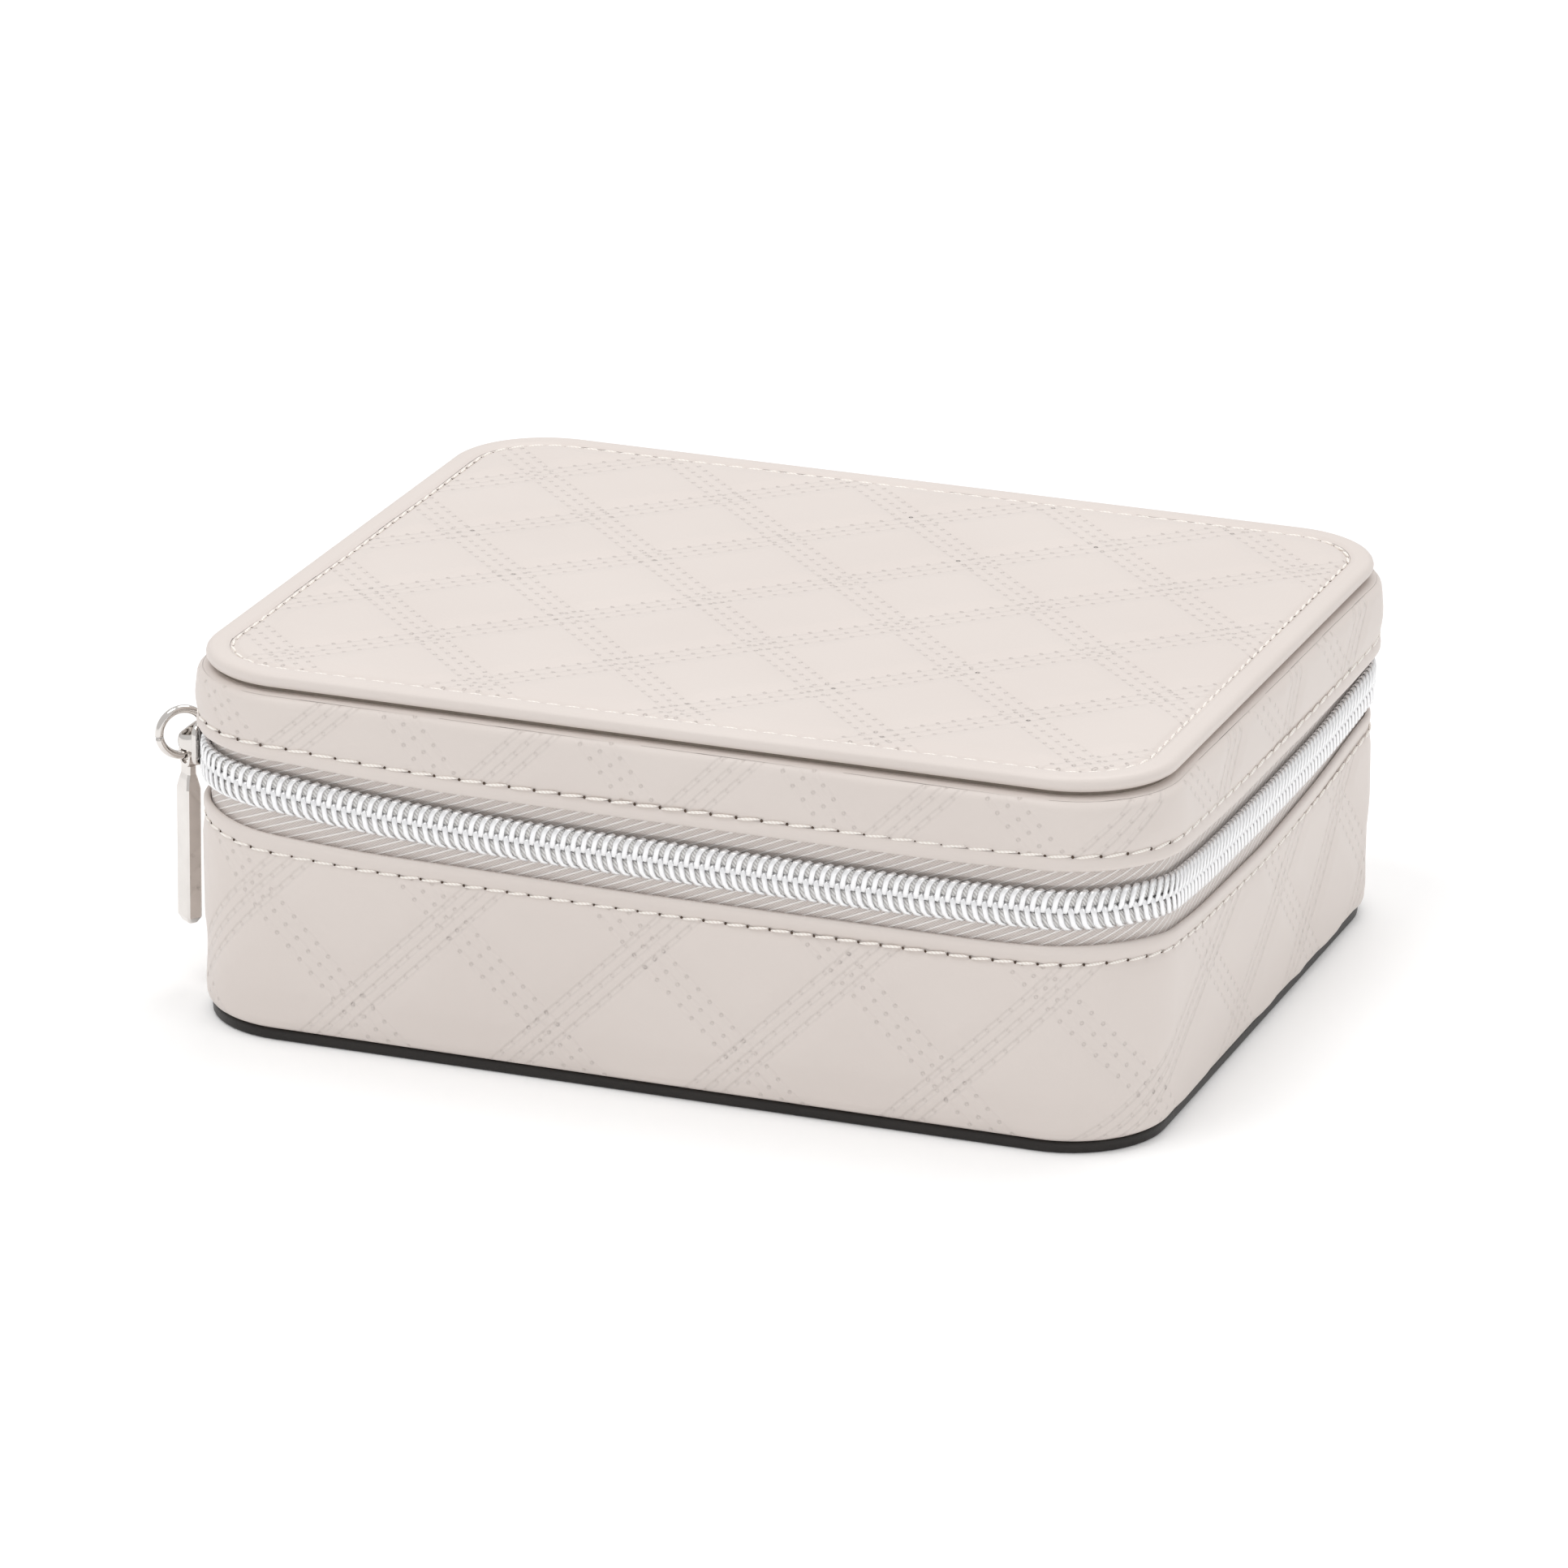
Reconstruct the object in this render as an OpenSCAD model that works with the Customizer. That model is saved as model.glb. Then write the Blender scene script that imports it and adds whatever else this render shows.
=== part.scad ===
// Zip-round leather jewellery case: a leather-covered board body and lid,
// joined by a leather spine at the back and closed by a coil zip on three sides.

/* [Case] */
// Length of the body over its leather
case_length = 151; // [100:0.5:260]
// Width of the body over its leather, front to back
case_width = 126.5; // [100:0.5:220]
// Radius of the body's upright corners
corner_radius = 16; // [12:0.5:26]
// How far the lid's leather stands out past the body's
lid_overhang = 0.9; // [0.4:0.1:1.4]
// Thickness of the black base panel
base_thickness = 1.8; // [1.2:0.1:4]
// How far the base panel sits inside the body's face
base_inset = 1; // [0.6:0.1:4]
// Height of the body's leather wall
body_wall_height = 29.7; // [24:0.1:60]
// Height of the gap between the two leather edges, where the zip shows
zip_gap = 11.5; // [11.5:0.1:14]
// Height of the lid's leather wall
lid_wall_height = 12.2; // [11:0.1:30]
// Thickness of the padded top panel
top_panel_thickness = 2.5; // [2:0.1:6]
// How far the top panel sits inside the lid's face
top_panel_inset = 1.3; // [0.5:0.1:4]

/* [Leather and board] */
// Leather alone, where the zip tape runs behind it
leather_thickness = 1.2; // [0.8:0.1:1.6]
// Thickness of the stiff board in walls, floor and lid
board_thickness = 2; // [1.5:0.1:4]
// Thickness of the suede lining
lining_thickness = 0.6; // [0.4:0.1:1.2]
// Thickness of the padded collar that lines the zip gap
collar_thickness = 1.6; // [1:0.1:3]
// Depth to which tape and spine are held behind the leather
seam_depth = 7; // [4:0.5:8]

/* [Zip] */
// Thickness of the zip tape's recess between leather and board
tape_recess = 0.6; // [0.5:0.1:1]
// Height of each half of the coil
coil_height = 2.6; // [2:0.1:3]
// How far the coil stands proud of the body's leather
coil_proud = 0.6; // [0.2:0.1:0.8]
// Gap between the two coil halves, where the slider's post runs
coil_split = 1; // [0.8:0.1:1.4]
// How far the zip climbs round the front left corner
zip_rise = 3.9; // [0:0.1:3.9]
// How far the lid's leather edge climbs with it
lid_edge_rise = 1.4; // [1.3:0.1:2.5]
// Length of the leather spine along the back
spine_length = 100; // [60:1:110]
// Length of each end stop of the zip
stop_length = 2.4; // [1.5:0.1:4]

/* [Slider and pull] */
// Length of the slider's outer plate
slider_length = 11; // [9:0.5:14]
// Distance from the end of the front corner's curve back to the slider's middle
slider_lead = 1.75; // [0:0.25:2]
// Thickness of the slider's plates
plate_thickness = 0.9; // [0.8:0.1:1.4]
// Width of the slider's bridge
bridge_width = 2.2; // [1.8:0.1:3.4]
// Clear height under the bridge
bridge_clear = 2.4; // [2.2:0.1:3]
// Thickness of the bridge strip
bridge_thickness = 0.8; // [0.6:0.1:1]
// Outer diameter of the jump ring
ring_diameter = 8.5; // [8.4:0.1:10]
// Diameter of the jump ring's wire
ring_wire = 1.3; // [0.9:0.1:1.4]
// Angle at which the jump ring stands out from the side
ring_turn = 42; // [30:1:50]
// How far round the ring, towards the case, the pull bar hangs
hang_turn = 15; // [0:1:15]
// Length of the pull bar
pull_length = 28.4; // [20:0.2:30]
// Width of the pull bar
pull_width = 3.5; // [3:0.1:5]
// Thickness of the pull bar
pull_thickness = 2.4; // [2:0.1:3]
// Thickness of the pull bar's neck, round the ring
neck_thickness = 1.5; // [1.2:0.1:1.6]
// Diameter of the hole in the neck
neck_hole = 2.4; // [2.2:0.1:2.4]
// Angle between the pull bar and the ring
pull_twist = 10; // [0:1:10]

/* [Inside] */
// Thickness of the floor pad
floor_pad_thickness = 1.2; // [0.8:0.1:3]
// Thickness of the dividers
divider_thickness = 2.4; // [1.6:0.1:4]
// Height of the dividers above the floor pad
divider_height = 22; // [15:0.5:26]
// Length of the ring rolls, left of the long divider
roll_length = 47; // [30:0.5:60]
// Height of the ring rolls
roll_height = 18; // [12:0.5:20]
// Width of the front and rear trays
side_tray_width = 36; // [24:0.5:42]
// Length of the mirror
mirror_length = 100; // [60:1:110]
// Width of the mirror
mirror_width = 74; // [50:1:84]
// Thickness of the mirror glass
mirror_thickness = 1; // [0.8:0.1:1.5]
// Face width of the mirror's leather frame
frame_face = 6; // [4:0.5:8]

/* [Hidden] */
$fn = 96;

roll_count = 8;
play = 0.05;                       // glue line or working gap between fitted pieces
run_clear = 0.15;                  // clearance round whatever the slider slides past
lap = 0.01;                        // pieces of one solid run this far into each other
fold_gap = 0.3;                    // gap between the two leaves of the spine at the fold

floor_z = base_thickness;
body_top = floor_z + body_wall_height;
lid_bottom = body_top + zip_gap;
lid_top = lid_bottom + lid_wall_height;
chain_rise = 4.7;                  // the chain runs a little below the middle of the gap
zip_z = body_top + chain_rise;
tape_out = leather_thickness;      // depths below the body's leather face
board_out = tape_out + tape_recess;
board_in = board_out + board_thickness;
lining_in = board_in + lining_thickness;
collar_out = lining_in + play;
collar_in = collar_out + collar_thickness;
board_step = 0.5;                  // boards stop this far short of the leather edges
collar_reach = 9.5;                // how far the collar stands above the body's leather
pad_z = floor_z + board_thickness;
pad_top = pad_z + floor_pad_thickness;
coil_end_gap = 3;                  // the coil stops where the corner turns to the back
coil_end_y = case_width / 2 - coil_end_gap;
coil_opening = 0.5;                // room in the upper coil before and behind the slider
stop_thickness = 0.5;
roll_gap = 0.4;

inner_half_x = case_length / 2 - collar_in;
inner_half_y = case_width / 2 - collar_in;
long_divider_x = -inner_half_x + roll_length + 2 * play;
tray_y = inner_half_y - side_tray_width;
roll_pitch = 2 * inner_half_y / roll_count;

side_zip_z = zip_z + zip_rise;     // height of the chain along the left side
coil_reach = coil_split / 2 + coil_height;
slider_y = -(case_width / 2 - corner_radius) + slider_lead;
plate_in_x = -(case_length / 2 + lid_overhang + run_clear);
plate_out_x = plate_in_x - plate_thickness;
flange_height = 0.75;
slider_half_h = coil_reach + run_clear + flange_height;
bridge_out_x = plate_out_x - bridge_clear - bridge_thickness;
bridge_setback = 1.4;
bridge_half = slider_length / 2 - bridge_setback;

ring_mean = (ring_diameter - ring_wire) / 2;
ring_seat_x = plate_out_x - bridge_clear / 2;
ring_seat_y = slider_y + bridge_half - bridge_thickness - ring_wire / 2 - play;
ring_x = ring_seat_x - ring_mean * cos(ring_turn);
ring_y = ring_seat_y - ring_mean * sin(ring_turn);
ring_z = side_zip_z;
hang_x = ring_x + ring_mean * sin(hang_turn) * cos(ring_turn);
hang_y = ring_y + ring_mean * sin(hang_turn) * sin(ring_turn);
hang_z = ring_z - ring_mean * cos(hang_turn);
neck_length = 5.2;
neck_cap = 0.6;                    // metal above the neck's hole
neck_drop = neck_hole / 2 - ring_wire / 2 - 2 * run_clear;
pull_top = hang_z - neck_drop + neck_hole / 2 + neck_cap;

leather = [0.87, 0.84, 0.81];
black_leather = [0.12, 0.10, 0.10];
suede = [0.78, 0.74, 0.71];
board_grey = [0.55, 0.50, 0.45];
tape_cloth = [0.76, 0.72, 0.70];
coil_silver = [0.88, 0.88, 0.89];
nickel = [0.80, 0.79, 0.77];
mirror_glass = [0.80, 0.86, 0.90];

// Plan of the case at a depth below the body's leather face
module plan(depth) {
    l = case_length - 2 * depth;
    w = case_width - 2 * depth;
    r = corner_radius - depth;
    square([l - 2 * r, w], center = true);
    square([l, w - 2 * r], center = true);
    for (sx = [-1, 1], sy = [-1, 1])
        translate([sx * (l / 2 - r), sy * (w / 2 - r)]) circle(r);
}

module slab(depth, z0, z1)
    translate([0, 0, z0]) linear_extrude(z1 - z0) plan(depth);

// A wall that follows the plan, between two depths
module wall(depth_out, depth_in, z0, z1)
    translate([0, 0, z0]) linear_extrude(z1 - z0) difference() {
        plan(depth_out);
        plan(depth_in);
    }

// Route of the zip: from the back right corner round the front to the back left.
// Each step is [centre x, centre y, angle of the face's normal, share of the climb].
corner_x = case_length / 2 - corner_radius;
corner_y = case_width / 2 - corner_radius;
arc_steps = 12;
climb_steps = 8;                   // the zip has climbed by this many steps of the front left corner

function climb(t) = t * t * (3 - 2 * t);

zip_route = concat(
    [for (i = [0:arc_steps]) [corner_x, corner_y, 90 * (1 - i / arc_steps), 0]],
    [for (i = [0:arc_steps]) [corner_x, -corner_y, -90 * i / arc_steps, 0]],
    [for (i = [0:arc_steps])
        [-corner_x, -corner_y, -90 - 90 * i / arc_steps, climb(min(1, i / climb_steps))]],
    [for (i = [0:arc_steps]) [-corner_x, corner_y, -180 - 90 * i / arc_steps, 1]]
);

// A strip along the zip's route, with a closed end at the spine's edge on each side.
// Its lower and upper edges each climb by their own amount on the left.
module zip_strip(depth_out, depth_in, low, high, low_climb, high_climb) {
    end_run = corner_x - spine_length / 2 - play;
    route = concat(
        [[corner_x - end_run, corner_y, 90, 0]], zip_route, [[-corner_x + end_run, corner_y, -270, 1]]
    );
    steps = len(route);
    function spot(s, depth, z) = [
        s[0] + (corner_radius - depth) * cos(s[2]), s[1] + (corner_radius - depth) * sin(s[2]), z
    ];
    points = [for (s = route, c = [[0, 0], [1, 0], [1, 1], [0, 1]])
        spot(s, c[0] == 0 ? depth_out : depth_in,
            c[1] == 0 ? low + low_climb * s[3] : high + high_climb * s[3])];
    sides = [for (i = [0:steps - 2], k = [0:3]) let (a = 4 * i + k, b = 4 * i + (k + 1) % 4)
        each [[a, b, b + 4], [a, b + 4, a + 4]]];
    polyhedron(points,
        concat(sides, [[3, 2, 1, 0]], [[for (k = [0:3]) 4 * (steps - 1) + k]]));
}

// The coil ends where the back corners turn, so only the part in front of that is kept
module coil_half(low, high) difference() {
    zip_strip(-coil_proud, tape_out, low, high, zip_rise, zip_rise);
    translate([-case_length, coil_end_y, 0]) cube([2 * case_length, corner_radius, lid_top]);
}

// ---- Body ----

module base_panel()
    color(black_leather) slab(base_inset, 0, base_thickness);

module body_board()
    color(board_grey) {
        slab(board_out, floor_z, pad_z);
        wall(board_out, board_in, pad_z - lap, body_top - board_step);
    }

module body_cover()
    color(leather) {
        wall(0, board_out, floor_z, body_top - seam_depth);
        wall(0, tape_out, body_top - seam_depth - lap, body_top);
    }

module body_lining()
    color(suede) wall(board_in, lining_in, pad_z, body_top - board_step);

module floor_pad()
    color(suede) slab(lining_in + play, pad_z, pad_top);

module inner_collar()
    color(suede) wall(collar_out, collar_in, pad_top, body_top + collar_reach);

module divider(x0, x1, y0, y1)
    color(suede) translate([x0, y0, pad_top]) cube([x1 - x0, y1 - y0, divider_height]);

divider_right = inner_half_x - play;
divider_left = long_divider_x + divider_thickness + play;

module divider_long()
    divider(long_divider_x, long_divider_x + divider_thickness, -inner_half_y + play, inner_half_y - play);

module divider_front()
    divider(divider_left, divider_right, -tray_y, -tray_y + divider_thickness);

module divider_rear()
    divider(divider_left, divider_right, tray_y - divider_thickness, tray_y);

module divider_short() {
    middle = (divider_left + divider_right) / 2;
    divider(middle - divider_thickness / 2, middle + divider_thickness / 2,
        tray_y + play, inner_half_y - play);
}

// One roll of the ring bed: a foam bar with a round top, seen from its end
module ring_roll(place) {
    width = roll_pitch - roll_gap;
    color(suede) intersection() {
        translate([-inner_half_x, -inner_half_y + (place - 0.5) * roll_pitch, pad_top])
            rotate([90, 0, 90]) linear_extrude(play + roll_length) {
                translate([-width / 2, 0]) square([width, roll_height - width / 2]);
                translate([0, roll_height - width / 2]) circle(width / 2);
            }
        slab(collar_in + play, pad_top - lap, pad_top + roll_height + lap);
    }
}

// ---- Zip ----

module lower_zip_tape()
    color(tape_cloth) zip_strip(tape_out + play, board_out - play, body_top - seam_depth + play,
        zip_z - coil_split / 2, 0, zip_rise);

module upper_zip_tape()
    color(tape_cloth) zip_strip(tape_out + play, board_out - play, zip_z + coil_split / 2,
        lid_bottom + seam_depth - play, zip_rise, 0);

module lower_coil()
    color(coil_silver) coil_half(zip_z - coil_reach, zip_z - coil_split / 2);

// Cleared at the slider, so that the lid can be lifted off it
module upper_coil()
    color(coil_silver) difference() {
        coil_half(zip_z + coil_split / 2, zip_z + coil_reach);
        translate([-case_length, slider_y - slider_length / 2 - coil_opening, 0])
            cube([case_length, slider_length + 2 * coil_opening, lid_top]);
    }

// A stop is a small metal clip on the last turns of one half of the coil
module stop(side, low)
    color(nickel) intersection() {
        zip_strip(-coil_proud - stop_thickness, -coil_proud, low, low + coil_height, zip_rise, zip_rise);
        translate([side < 0 ? -case_length : 0, coil_end_y - stop_length, 0])
            cube([case_length, stop_length, lid_top]);
    }

module zip_bottom_stop() stop(1, zip_z - coil_reach);
module lower_top_stop() stop(-1, zip_z - coil_reach);
module upper_top_stop() stop(-1, zip_z + coil_split / 2);

// ---- Spine ----

spine_y = case_width / 2 - tape_out;

module spine_leaf(z0, z1)
    color(leather) translate([-spine_length / 2, spine_y - tape_recess + play, z0])
        cube([spine_length, tape_recess - 2 * play, z1 - z0]);

module spine_lower_leaf() spine_leaf(body_top - seam_depth + play, zip_z - fold_gap / 2);
module spine_upper_leaf() spine_leaf(zip_z + fold_gap / 2, lid_bottom + seam_depth - play);

// ---- Lid ----

module lid_board()
    color(board_grey) {
        wall(board_out, board_in, lid_bottom + board_step, lid_top - board_thickness + lap);
        slab(board_out, lid_top - board_thickness, lid_top);
    }

module lid_cover()
    color(leather) difference() {
        union() {
            wall(-lid_overhang, tape_out, lid_bottom, lid_bottom + seam_depth);
            wall(-lid_overhang, board_out, lid_bottom + seam_depth - lap, lid_top);
        }
        zip_strip(-2 * lid_overhang, board_out, lid_bottom - zip_gap, lid_bottom, 0, lid_edge_rise);
    }

// Padded panel with a rolled edge all round
module top_panel() {
    edge = top_panel_thickness / 2;
    depth = top_panel_inset - lid_overhang;
    round_r = corner_radius - depth - edge;
    color(leather) translate([0, 0, lid_top + edge]) hull()
        for (sx = [-1, 1], sy = [-1, 1])
            translate([sx * corner_x, sy * corner_y])
                rotate_extrude($fn = 64) translate([round_r, 0]) circle(edge, $fn = 24);
}

ceiling_z = lid_top - board_thickness - lining_thickness;

module lid_lining()
    color(suede) {
        wall(board_in, lining_in, lid_bottom + board_step, ceiling_z + lap);
        slab(board_in, ceiling_z, ceiling_z + lining_thickness);
    }

frame_front = 0.8;
frame_thickness = mirror_thickness + frame_front;
mirror_lip = 2;

module mirror_frame()
    color(leather) translate([0, 0, ceiling_z - frame_thickness]) difference() {
        linear_extrude(frame_thickness)
            square([mirror_length + 2 * frame_face, mirror_width + 2 * frame_face],
            center = true);
        translate([0, 0, -1]) linear_extrude(frame_thickness + 2)
            square([mirror_length - 2 * mirror_lip, mirror_width - 2 * mirror_lip], center = true);
        translate([0, 0, frame_thickness - mirror_thickness - play]) linear_extrude(mirror_thickness + 1)
            square([mirror_length + 2 * play, mirror_width + 2 * play], center = true);
    }

module mirror()
    color(mirror_glass) translate([0, 0, ceiling_z - mirror_thickness]) linear_extrude(mirror_thickness)
        square([mirror_length, mirror_width], center = true);

// ---- Slider, ring and pull ----

// Block given by its two corners along x and z, centred along y on the slider
module slider_block(x0, x1, z0, z1, y0, y1)
    translate([x0, slider_y + y0, side_zip_z + z0]) cube([x1 - x0, y1 - y0, z1 - z0]);

module slider_body() {
    half = slider_length / 2;
    inner_in_x = -(case_length / 2 - board_out - run_clear - plate_thickness);
    inner_out_x = -(case_length / 2 - board_out - run_clear);
    flange_end_x = -(case_length / 2 - tape_out + run_clear);
    flange_low = coil_reach + run_clear;
    post_length = 2.2;
    color(nickel) {
        // outer plate and its two flanges
        slider_block(plate_out_x, plate_in_x, -slider_half_h, slider_half_h, -half, half);
        for (s = [-1, 1])
            slider_block(plate_in_x, flange_end_x, s > 0 ? flange_low : -slider_half_h,
                s > 0 ? slider_half_h : -flange_low, -half, half);
        // inner plate, behind the straight stretch of tape only
        slider_block(inner_out_x, inner_in_x, -coil_reach, coil_reach, -slider_lead, half);
        // post between the two halves of the coil
        slider_block(plate_in_x, inner_out_x, -coil_split / 2 + run_clear, coil_split / 2 - run_clear,
            half - plate_thickness - post_length, half - plate_thickness);
        // bridge that holds the ring
        slider_block(bridge_out_x, bridge_out_x + bridge_thickness, -bridge_width / 2, bridge_width / 2,
            -bridge_half, bridge_half);
        for (s = [-1, 1])
            slider_block(bridge_out_x, plate_out_x, -bridge_width / 2, bridge_width / 2,
                s < 0 ? -bridge_half : bridge_half - bridge_thickness,
                s < 0 ? -bridge_half + bridge_thickness : bridge_half);
    }
}

// Open ring of round wire, its slit facing away from the case
module jump_ring() {
    slit_angle = 5;
    slit_side = 190;
    color(nickel) translate([ring_x, ring_y, ring_z]) rotate([0, 0, ring_turn]) rotate([90, 0, 0])
        rotate([0, 0, slit_side]) rotate_extrude(angle = 360 - slit_angle)
            translate([ring_mean, 0]) circle(ring_wire / 2);
}

module pull_bar() {
    shoulder = (pull_thickness - neck_thickness) / 2;
    shoulder_run = 3 * shoulder;
    tip = 1.1;
    color(nickel)
        translate([hang_x, hang_y, pull_top]) rotate([0, 0, ring_turn + pull_twist]) difference() {
            // side view, across the thickness: thin neck, sloping shoulders, bevelled tip
            rotate([90, 0, 0]) linear_extrude(pull_width, center = true) polygon([
                [-neck_thickness / 2, 0], [neck_thickness / 2, 0],
                [neck_thickness / 2, -neck_length], [pull_thickness / 2, -neck_length - shoulder_run],
                [pull_thickness / 2, -pull_length + tip], [pull_thickness / 2 - tip, -pull_length],
                [-pull_thickness / 2 + tip, -pull_length], [-pull_thickness / 2, -pull_length + tip],
                [-pull_thickness / 2, -neck_length - shoulder_run], [-neck_thickness / 2, -neck_length]
            ]);
            translate([0, 0, -neck_cap - neck_hole / 2]) rotate([0, 90, 0])
                cylinder(h = 2 * pull_thickness, d = neck_hole, center = true);
        }
}

base_panel();
body_board();
body_cover();
body_lining();
floor_pad();
inner_collar();
divider_long();
divider_front();
divider_rear();
divider_short();
for (place = [1:roll_count])
    ring_roll(place);
lower_zip_tape();
lower_coil();
zip_bottom_stop();
lower_top_stop();
spine_lower_leaf();
lid_board();
lid_cover();
top_panel();
lid_lining();
mirror_frame();
mirror();
upper_zip_tape();
upper_coil();
upper_top_stop();
spine_upper_leaf();
slider_body();
jump_ring();
pull_bar();
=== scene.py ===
import math

import bmesh
import bpy
import numpy as np
from mathutils import Matrix, Vector


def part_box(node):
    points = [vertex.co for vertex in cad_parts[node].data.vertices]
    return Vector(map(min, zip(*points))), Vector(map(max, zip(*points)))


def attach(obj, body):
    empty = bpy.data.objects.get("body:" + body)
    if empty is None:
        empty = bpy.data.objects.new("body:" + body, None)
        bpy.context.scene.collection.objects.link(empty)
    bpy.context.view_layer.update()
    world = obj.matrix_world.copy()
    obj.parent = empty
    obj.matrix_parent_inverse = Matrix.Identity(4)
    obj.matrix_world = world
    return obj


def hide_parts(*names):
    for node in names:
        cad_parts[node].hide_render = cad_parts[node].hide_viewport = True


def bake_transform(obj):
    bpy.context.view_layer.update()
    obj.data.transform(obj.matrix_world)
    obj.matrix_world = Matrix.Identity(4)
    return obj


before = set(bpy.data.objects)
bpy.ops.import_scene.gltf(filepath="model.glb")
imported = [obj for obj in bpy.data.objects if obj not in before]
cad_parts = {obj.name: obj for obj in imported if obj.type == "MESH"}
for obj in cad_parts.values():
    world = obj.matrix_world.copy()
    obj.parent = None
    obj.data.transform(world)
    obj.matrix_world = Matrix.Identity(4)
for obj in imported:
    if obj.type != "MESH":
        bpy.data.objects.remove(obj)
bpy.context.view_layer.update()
mm = 0.001

# ---- Camera ----
# A long lens a little above the lid, turned towards the front left corner, where the
# zip's pull hangs. It rolls by less than a degree.
turn, rise, roll = math.radians(19.867), math.radians(19.447), math.radians(0.772)
look_at = Vector((-1.904, -0.557, 27.792)) * mm
back = Vector((math.sin(turn) * math.cos(rise), -math.cos(turn) * math.cos(rise), math.sin(rise)))
level = Vector((0, 0, 1)).cross(back).normalized()
up = back.cross(level)
right = level * math.cos(roll) + up * math.sin(roll)
up = up * math.cos(roll) - level * math.sin(roll)
camera = bpy.data.objects.new("camera", bpy.data.cameras.new("camera"))
bpy.context.collection.objects.link(camera)
camera.data.lens = 210.67
camera.data.sensor_width = 36
camera.data.clip_end = 20
camera.matrix_world = Matrix.Translation(look_at + back * 1.388) @ Matrix((right, up, back)).transposed().to_4x4()
bpy.context.scene.camera = camera


# ---- Floor and light ----
# A studio sweep of white paper, lit by one big soft light from the upper left, a weaker
# one from the right and a bright white room.
def linear(code):
    """An sRGB hex colour as linear red, green, blue and alpha."""
    parts = [int(code[i:i + 2], 16) / 255 for i in (1, 3, 5)]
    return [p / 12.92 if p <= 0.04045 else ((p + 0.055) / 1.055) ** 2.4 for p in parts] + [1]


def add(tree, kind, sets=None, **links):
    """Adds a node. sets holds its settings and unlinked sockets, links the outputs that feed it."""
    node = tree.nodes.new(kind)
    for name, value in (sets or {}).items():
        if isinstance(name, int) or name in node.inputs:
            node.inputs[name].default_value = value
        else:
            setattr(node, name, value)
    for name, source in links.items():
        key = int(name[1:]) if name[0] == "i" and name[1:].isdigit() else name.replace("_", " ")
        tree.links.new(source, node.inputs[key])
    return node


def new_material(name, sets):
    """A material with one shader, and its tree and shader to build on."""
    material = bpy.data.materials.new(name)
    material.use_nodes = True
    tree = material.node_tree
    shader = tree.nodes["Principled BSDF"]
    for key, value in sets.items():
        shader.inputs[key].default_value = value
    return material, tree, shader


def own_place(tree):
    """The place of a point on its own piece, in metres."""
    return add(tree, "ShaderNodeTexCoord").outputs["Object"]


def maths(tree, operation, given=None, **wires):
    """One sum. Its fixed numbers are given by input place."""
    return add(tree, "ShaderNodeMath", {"operation": operation, **(given or {})}, **wires)


def toned(tree, shader, dark, light, factor):
    """Colours a shader between two sRGB hex colours."""
    tone = add(tree, "ShaderNodeMix", {"data_type": "RGBA", 6: linear(dark), 7: linear(light)}, Factor=factor)
    tree.links.new(tone.outputs[2], shader.inputs["Base Color"])


def bumped(tree, shader, strength, distance, height):
    """Gives a shader one bump. The distance is in metres."""
    bump = add(tree, "ShaderNodeBump", {"Strength": strength, "Distance": distance}, Height=height)
    tree.links.new(bump.outputs[0], shader.inputs["Normal"])


# Matt white paper: barely any grain, no gloss.
paper, tree, shader = new_material("paper", {"Roughness": 0.9, "Specular IOR Level": 0.1,
                                             "Emission Color": (1, 1, 1, 1), "Emission Strength": 0.09})
grain = add(tree, "ShaderNodeTexNoise", {"Scale": 900}, Vector=own_place(tree))
toned(tree, shader, "#F4F4F4", "#FBFBFB", grain.outputs["Fac"])

bm = bmesh.new()
bmesh.ops.create_grid(bm, x_segments=1, y_segments=1, size=6)
mesh = bpy.data.meshes.new("floor")
bm.to_mesh(mesh)
bm.free()
floor = bpy.data.objects.new("floor", mesh)
bpy.context.collection.objects.link(floor)
mesh.materials.append(paper)

world = bpy.context.scene.world or bpy.data.worlds.new("room")
bpy.context.scene.world = world
world.use_nodes = True
world.node_tree.nodes["Background"].inputs["Color"].default_value = (1, 1, 1, 1)
world.node_tree.nodes["Background"].inputs["Strength"].default_value = 0.72
bpy.context.scene.view_settings.view_transform = "Standard"

for name, spot, size, power in [
    ("key", (-0.35, -0.45, 1.4), 0.7, 5.6),
    ("fill", (1.0, -0.3, 0.9), 0.6, 1.0),
    ("top", (0.1, 0.5, 1.4), 0.9, 5.4),
]:
    lamp = bpy.data.objects.new(name, bpy.data.lights.new(name, "AREA"))
    bpy.context.collection.objects.link(lamp)
    lamp.data.shape = "DISK"
    lamp.data.size = size
    lamp.data.energy = power
    lamp.location = spot
    lamp.rotation_euler = (Vector((0, 0, 0.03)) - Vector(spot)).to_track_quat("-Z", "Y").to_euler()


# ---- Route round the case ----
# The leather, the tapes and the zip all run round the case's outline, so each place on them
# is a distance round it from the middle of the front, to the right, and how far it stands
# out from the body's leather. Both are in millimetres.
low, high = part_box("body_cover")
half_x, half_y, corner = high.x / mm, high.y / mm, 16
body_edge_z = high.z / mm
lid_edge_z = (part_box("lid_board")[0].z / mm) - 0.5
base_top_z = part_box("base_panel")[1].z / mm
turn_x, turn_y = half_x - corner, half_y - corner
quarter = corner * math.pi / 2
steps_round = np.cumsum([0, turn_x, quarter, 2 * turn_y, quarter, turn_x])
half_round = steps_round[-1]


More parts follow.
